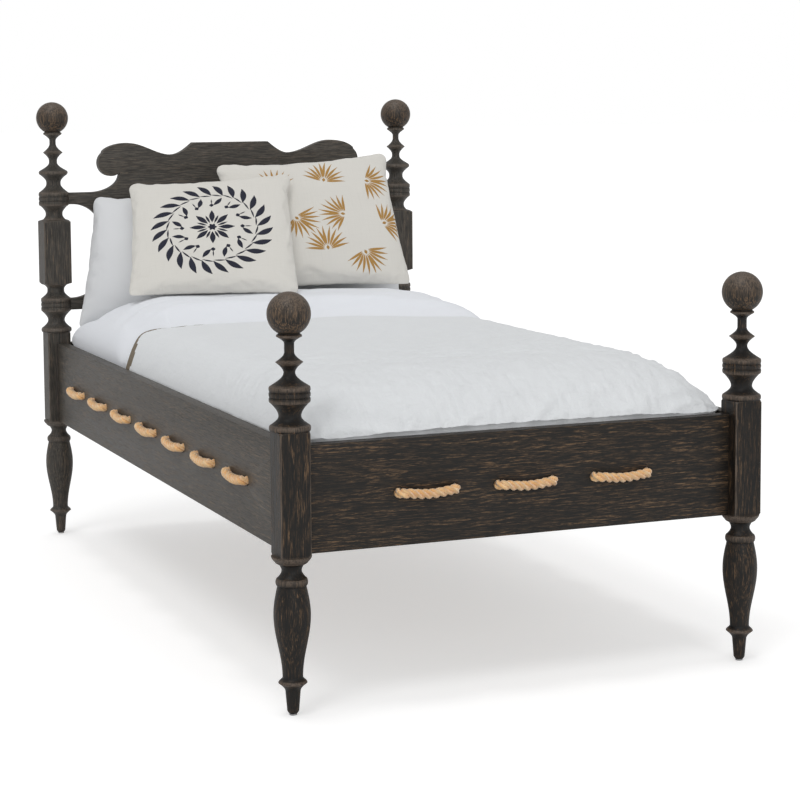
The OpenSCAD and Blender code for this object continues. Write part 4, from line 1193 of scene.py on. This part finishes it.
wide, long_n = len(columns), len(rows)
points = [Vector(cover_point(c, r)) * mm for r in rows for c in columns]
faces, reverse_and_shade_faces = [], []
for j in range(long_n - 1):
    for i in range(wide - 1):
        in_skirt_x = min(columns[i][1], columns[i + 1][1]) >= 1
        in_skirt_y = min(rows[j][1], rows[j + 1][1]) >= 1
        if not (in_skirt_x and in_skirt_y):
            # Painted shadow: faces near the head edge at the left take the reverse's dark tan, for the
            # gap under the edge as well as the reverse.
            to_left = -columns[i][0]
            reverse_and_shade_reach = 14 * fade(to_left, 290, 360) * (0.5 - 0.5 * math.sin(to_left / 9))
            reverse_and_shade_reach += 26 * fade(to_left, 430, 500)
            reverse_and_shade_faces.append(fold_y - rows[j][0] <= reverse_and_shade_reach)
            faces.append((j * wide + i, j * wide + i + 1, (j + 1) * wide + i + 1, (j + 1) * wide + i))
linen_face = cloth("linen_coverlet", (0.765, 0.785, 0.80, 1), (0.68, 0.695, 0.71, 1), 1.0 * mm,
                   0.4, 0.55)
# The reverse's dark tan, also used as painted shadow in the gap under the head edge.
linen_back_and_gap_shade = cloth("linen_reverse_and_gap_shade", (0.165, 0.125, 0.075, 1), (0.11, 0.085, 0.055, 1), 1.0 * mm, 0.5)
coverlet = mesh_object("linen_coverlet", points, faces, linen_face)
coverlet.data.materials.append(linen_back_and_gap_shade)
for f in coverlet.data.polygons:
    f.material_index = int(reverse_and_shade_faces[f.index])
with editing(coverlet) as shape:
    bmesh.ops.remove_doubles(shape, verts=shape.verts, dist=0.05 * mm)
    bmesh.ops.delete(shape, geom=[v for v in shape.verts if not v.link_faces], context="VERTS")


def cover_crinkle(p, normal):
    top = fade(normal.z, 0.10, 0.7)
    foot = fade(-p[1], 150, 800)
    side_zone = fade(abs(p[0]), 300, 480)
    at_head = fade(head_edge(p[0]) - p[1], 0, 30)
    low_edge = fade(-p[1], 640, 930)
    rumple = (hills(p, 230, (1, 0.7, 0), 1.3) + 0.3) * 2.2
    drag = ridges(p, 50, (1.5, 0.3, 0), 4.4) ** 3 * (4.0 * low_edge + 0.5 * side_zone)
    cross = ridges(p, 66, (0.4, 1.5, 0), 7.9) ** 3 * 4.2 * foot
    aslant = (p[0] + p[1] * 0.6, p[1] - p[0] * 0.6, 0)
    slant = ridges(aslant, 90, (0.4, 1.5, 0), 5.5) ** 3 * 3.6 * (0.3 + 0.7 * foot)
    fine = ridges(p, 30, (1, 0.8, 0), 2.2) ** 3 * 2.4 * (0.25 + 0.75 * foot)
    return -sink + (rumple + drag + cross + slant + fine) * top * (0.3 + 0.7 * at_head)


coat(coverlet, cover_crinkle)
thick = coverlet.modifiers.new("thickness", "SOLIDIFY")
thick.thickness = cloth_t * mm
thick.offset = -1
thick.use_rim = True
thick.material_offset = 1
thick.material_offset_rim = 1
bpy.context.view_layer.update()
solid = evaluated(coverlet)
coverlet.modifiers.clear()
coverlet.data = solid
smooth(coverlet, 60)
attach(coverlet, "linen_coverlet")
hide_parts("coverlet")


# ---- Pillows ----------------------------------------------------------------
# Two feather pillows in percale cases lean on the headboard. In front of them lean
# two square cotton-canvas cushions, sewn from two panels with a knife edge.
inflate_frames = 14
drawn_in, corner_r, crumple = 0.03, 30, 11
cloth_pitch, crowding, settle, spill = 7.0, 0.8, 9, 12


def settled(case, pressure, growth):
    """Lets a case of two panels crumple round its filling, without gravity."""
    fill = case.modifiers.new("fill", "CLOTH")
    kept = fill.settings
    kept.quality = 7
    kept.mass = 0.25
    kept.tension_stiffness = 24
    kept.compression_stiffness = 24
    kept.shear_stiffness = 10
    kept.bending_stiffness = 0.25
    kept.shrink_min = -growth
    kept.use_pressure = True
    kept.uniform_pressure_force = pressure
    kept.effector_weights.gravity = 0
    fill.collision_settings.use_collision = False
    fill.point_cache.frame_start = 1
    fill.point_cache.frame_end = inflate_frames
    for step in range(1, inflate_frames + 1):
        scene.frame_set(step)
    mesh = evaluated(case)
    case.modifiers.remove(fill)
    case.data = mesh
    scene.frame_set(1)


def pillow_point(u, v, w, h):
    """Where a place of a flat case lies: its sides drawn in a little, its corners rounded."""
    x = w / 2 * u * (1 - drawn_in * (1 - v * v))
    z = h / 2 * v * (1 - drawn_in * (1 - u * u))
    a = max(0, 1 - (w / 2 - abs(x)) / corner_r)
    b = max(0, 1 - (h / 2 - abs(z)) / corner_r)
    if a > 0 and b > 0:
        x = math.copysign(w / 2 - corner_r * (1 - a * math.sqrt(1 - b * b / 2)), x)
        z = math.copysign(h / 2 - corner_r * (1 - b * math.sqrt(1 - a * a / 2)), z)
    return x, z


def spread(k, count):
    """Where row k of a panel lies, from -1 to 1; the rows are closer together near the seams."""
    return math.sin(math.pi / 2 * (2 * k / count - 1) * crowding) / math.sin(math.pi / 2 * crowding)


def write_uv(piece, name, places):
    layer = piece.data.uv_layers.new(name=name)
    for loop in piece.data.loops:
        layer.data[loop.index].uv = places[loop.vertex_index]


def pillow(name, node, size, top_share, lean, spin, material, pressure, growth, tilt):
    """A case of two panels, filled, leant back and set down where its node stands."""
    w, h, t = size
    across, up = 2 * round(w / cloth_pitch / 2), 2 * round(h / cloth_pitch / 2)
    points, faces, spots = [], [], []
    index = {}

    def at(face, i, j):
        return index.get((face, i, j), index.get((0, i, j)))

    for face in (-1, 1):
        for j in range(up + 1):
            for i in range(across + 1):
                at_rim = i in (0, across) or j in (0, up)
                key = (0 if at_rim else face, i, j)
                if key not in index:
                    index[key] = len(points)
                    u, v = spread(i, across), spread(j, up)
                    x, z = pillow_point(u, v, w, h)
                    swell = ((1 - abs(u) ** 2.1) * (1 - abs(v) ** 2.1)) ** 0.5
                    seam = 1 - min(1, swell * 2)
                    wave = hills((x, z, 40 * face), 85, seed=len(name)) * 5 * swell
                    pucker = hills((x, z, 9 * face), 17, seed=3.3) * 2.2 * seam * (1 - seam) * 4
                    y = face * (0.46 * t * swell) + wave + pucker * (0 if at_rim else 1)
                    points.append((x, y, z))
                    spots.append((i * cloth_pitch * mm, j * cloth_pitch * mm))
        for j in range(up):
            for i in range(across):
                ring = [at(face, a, b) for a, b in ((i, j), (i + 1, j), (i + 1, j + 1), (i, j + 1))]
                faces.append(ring if face < 0 else ring[::-1])
    made = mesh_object(name, [Vector(p) * mm for p in points], faces, material)
    write_uv(made, "cloth", spots)
    settled(made, pressure, growth)
    drift = np.array([v.co for v in made.data.vertices]) / mm - np.array(points)
    drift -= drift.mean(0)
    far = np.maximum(np.linalg.norm(drift, axis=1), 1e-6)
    drift *= (crumple * np.tanh(far / crumple) / far)[:, None]
    move_to(made, [Vector(place) * mm for place in np.array(points) + drift])
    co = np.array([v.co for v in made.data.vertices]) / mm
    x, y, z = co.T
    x = (x - (x.min() + x.max()) / 2) * w / (x.max() - x.min())
    z = (z - z.min()) * h / (z.max() - z.min())
    y = (y - (y.min() + y.max()) / 2) * t / (y.max() - y.min())
    slouches = top_share < 1
    low = 1 - z / h
    sideways = tilt * (z / h) if slouches else 0
    z = z + (0 if slouches else tilt * (x / w) * (z / h))
    y = y * (1 + (0.9 if slouches else 0.3) * (low - 0.5) * low)
    belly = 0.05 * np.sin(math.pi * np.clip(low * 1.15 - 0.15, 0, 1))
    x = x * (1 + (top_share - 1) * (1 - low) ** 1.3 + belly)
    x = x + sideways
    outer_side = np.clip(-np.sign(tilt) * x / (w / 2), 0, 1) ** 2 * slouches
    a, b = math.radians(lean), math.radians(spin)
    y, z = y * math.cos(a) + z * math.sin(a), z * math.cos(a) - y * math.sin(a)
    y = y + 118 * outer_side * low ** 1.3
    x, y = x * math.cos(b) - y * math.sin(b), x * math.sin(b) + y * math.cos(b)
    lo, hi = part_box(node)
    x += (lo.x + hi.x) / 2 / mm - (x.min() + x.max()) / 2
    y += (lo.y + hi.y) / 2 / mm - (y.min() + y.max()) / 2
    z += lo.z / mm - z.min() - settle
    z = np.maximum(z, lo.z / mm)
    y = np.minimum(y, hi.y / mm)
    x = np.clip(x, lo.x / mm - spill * (lo.x < -0.45), hi.x / mm + spill * (hi.x > 0.45))
    if slouches:
        z -= [tucked(*place[:2]) * 0.35 * (1 - fade(place[2], lo.z / mm, lo.z / mm + 170))
              for place in zip(x, y, z)]
    move_to(made, [Vector(place) * mm for place in zip(x, y, z)])
    finer = made.modifiers.new("finer", "SUBSURF")
    finer.levels = finer.render_levels = 1
    smooth(made, 70)
    return made, [[at(-1, i, j) for i in range(across + 1)] for j in range(up + 1)]


case_percale = cloth("case_percale", (0.715, 0.725, 0.74, 1), (0.65, 0.66, 0.675, 1), 0.6 * mm,
                     0.15, 0.1, own_uv=True)
canvas = cloth("cream_canvas", (0.70, 0.682, 0.638, 1), (0.61, 0.595, 0.55, 1), 0.9 * mm,
               0.5, 0.1, own_uv=True)
for side_name, tilt in (("left", 18), ("right", -18)):
    sleeper = pillow(f"feather_pillow_{side_name}", f"sleeping_pillow_{side_name}", (488, 410, 214),
                     0.80, 28, 0, case_percale, 3.0, 0.05, tilt)[0]
    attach(sleeper, f"{side_name}_sleeping_pillow")
    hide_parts(f"sleeping_pillow_{side_name}")
cushion_sizes = {"rear": (514, 436, 108), "front": (458, 424, 88)}
cushions = {}
for name, lean, spin in (("rear", 34, -6), ("front", 43, -16)):
    cushions[name] = pillow(f"canvas_cushion_{name}", f"throw_pillow_{name}", cushion_sizes[name],
                            1, lean, spin, canvas, 2.0, 0.04, 34)
    cushion = cushions[name][0]
    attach(cushion, f"{name}_throw_pillow")
    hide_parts(f"throw_pillow_{name}")


# ---- Embroidery -------------------------------------------------------------
# Satin stitch in thick cotton thread through the front panels of the two cushions:
# a wreath of leaves in dark blue, and fans of slender blades in old gold.
def polar(r, degrees):
    return r * math.cos(math.radians(degrees)), r * math.sin(math.radians(degrees))


def leaf(x, y, angle, long, wide, bend=0.0, tip=1.0):
    """One stitched shape, pointed at both ends: its spine from x, y, and its half width along it."""
    steps = 9
    spine = []
    for k in range(steps + 1):
        heading = angle + bend * (k / steps - 0.5)
        spine.append((x, y, heading + 90, wide / 2 * max(0.06, math.sin(math.pi * (k / steps) ** tip))))
        dx, dy = polar(long / steps, heading)
        x, y = x + dx, y + dy
    return spine


def thread(name, light, dark):
    material, tree, shader = new_material(name)
    stitch_pitch = 1.1 * mm
    place = place_in(tree, "UV")
    apart = add(tree, "ShaderNodeSeparateXYZ", {0: place}).outputs
    wobble = noise_map(tree, place, 400, 2)
    stitched = wave(tree, calc(tree, "MULTIPLY_ADD", apart[0], 2 * math.pi / stitch_pitch,
                               calc(tree, "MULTIPLY", wobble, 2.0)))
    feed(tree, shader, {"Base Color": mixed(tree, stitched, dark, light), "Roughness": 0.7,
                        "Specular IOR Level": 0.2, "Normal": relief(tree, stitched, 0.5, 0.3 * mm)})
    return material


def embroider(name, side_name, leaves, material):
    """Lays stitched shapes, given in millimetres from the panel's middle, on a cushion's front."""
    cushion, front = cushions[side_name]
    bpy.context.view_layer.update()
    skin = evaluated(cushion)
    surface = BVHTree.FromPolygons([v.co for v in skin.vertices],
                                   [tuple(f.vertices) for f in skin.polygons])
    up, across = len(front) - 1, len(front[0]) - 1
    panel_w, panel_h = cushion_sizes[side_name][:2]
    corner = [[cushion.data.vertices[k].co for k in row] for row in front]

    def row_at(place, count):
        bent = math.asin(min(1, max(-1, place)) * math.sin(math.pi / 2 * crowding))
        return (bent / (math.pi / 2 * crowding) + 1) / 2 * count

    def on_panel(x, y, rise):
        i, j = row_at(2 * x / panel_w, across), row_at(2 * y / panel_h, up)
        a, b = min(int(i), across - 1), min(int(j), up - 1)
        low = corner[b][a].lerp(corner[b][a + 1], i - a)
        high = corner[b + 1][a].lerp(corner[b + 1][a + 1], i - a)
        place, normal = surface.find_nearest(low.lerp(high, j - b))[:2]
        return place + normal * rise * mm

    shares = (-1, -0.6, 0, 0.6, 1)
    m = len(shares)
    points, faces, uvs = [], [], []
    for spine in leaves:
        steps = len(spine) - 1
        for layer, top in ((-0.4, False), (1.0, True)):
            first = len(points)
            for k, (x, y, side_way, half) in enumerate(spine):
                ends = min(1, 3 * min(k, steps - k) / steps + 0.1)
                for share in shares:
                    arch = (0.15 + 0.85 * (1 - share * share)) * ends if top else 1
                    dx, dy = polar(half * share, side_way)
                    points.append(on_panel(x + dx, y + dy, layer * arch))
                    uvs.append((k * 0.004, share * half * mm))
            grid = [(q, q + 1, q + m + 1, q + m) for k in range(steps)
                    for q in range(first + k * m, first + k * m + m - 1)]
            faces += grid if top else [f[::-1] for f in grid]
        rim = ([first + k * m for k in range(steps + 1)]
               + [first + steps * m + q for q in range(1, m)]
               + [first + k * m + m - 1 for k in range(steps - 1, -1, -1)]
               + [first + q for q in range(m - 2, 0, -1)])
        under = len(spine) * m
        faces += [(rim[k - 1], rim[k], rim[k] - under, rim[k - 1] - under) for k in range(len(rim))]
    made = mesh_object(name, points, faces, material)
    write_uv(made, "thread", uvs)
    with editing(made) as shape:
        bmesh.ops.recalc_face_normals(shape, faces=shape.faces)
    smooth(made, 50)
    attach(made, f"{side_name}_throw_pillow")
    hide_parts(f"throw_pillow_{side_name}")


wreath = []
for k in range(24):
    a = 360 * k / 24
    wreath.append(leaf(*polar(118, a), a + 90, 34, 4.6, 15))
    wreath.append(leaf(*polar(121, a), a + 46, 56, 17, 28))
    if k % 2:
        wreath.append(leaf(*polar(112, a), a + 152, 36, 13, -22))
    else:
        wreath.append(leaf(*polar(106, a), a + 180, 20, 3.4))
        wreath.append(leaf(*polar(88, a), a + 180, 13, 12))
for ring_r, count, shift, long, wide in ((17, 8, 0, 44, 15), (15, 8, 0.5, 30, 6.5), (0, 6, 0, 13, 8)):
    for k in range(count):
        a = 360 * (k + shift) / count
        wreath.append(leaf(*polar(ring_r, a), a, long, wide))
embroider("leaf_wreath", "front", wreath,
          thread("thread_dark_blue", (0.030, 0.032, 0.052, 1), (0.012, 0.013, 0.024, 1)))
fans = []
for x, y, turn in ((40, 110, 75), (165, 110, -15), (85, -5, 165), (190, -35, 20), (20, -120, 95),
                   (-100, 95, 110), (-165, -40, 20), (125, -120, -70), (-60, -5, -50)):
    for k in range(-5, 6):
        a = turn + k * 15.5
        dx, dy = polar(12 + 3 * math.cos(k * 0.5), a)
        fans.append(leaf(x + dx, y + dy, a, 64 - 1.6 * abs(k), 7.4, 14 if k > 0 else -14, 0.8))
    fans.append(leaf(x, y, turn, 14, 9))
embroider("gold_fans", "rear", fans,
          thread("thread_old_gold", (0.50, 0.290, 0.090, 1), (0.30, 0.165, 0.045, 1)))
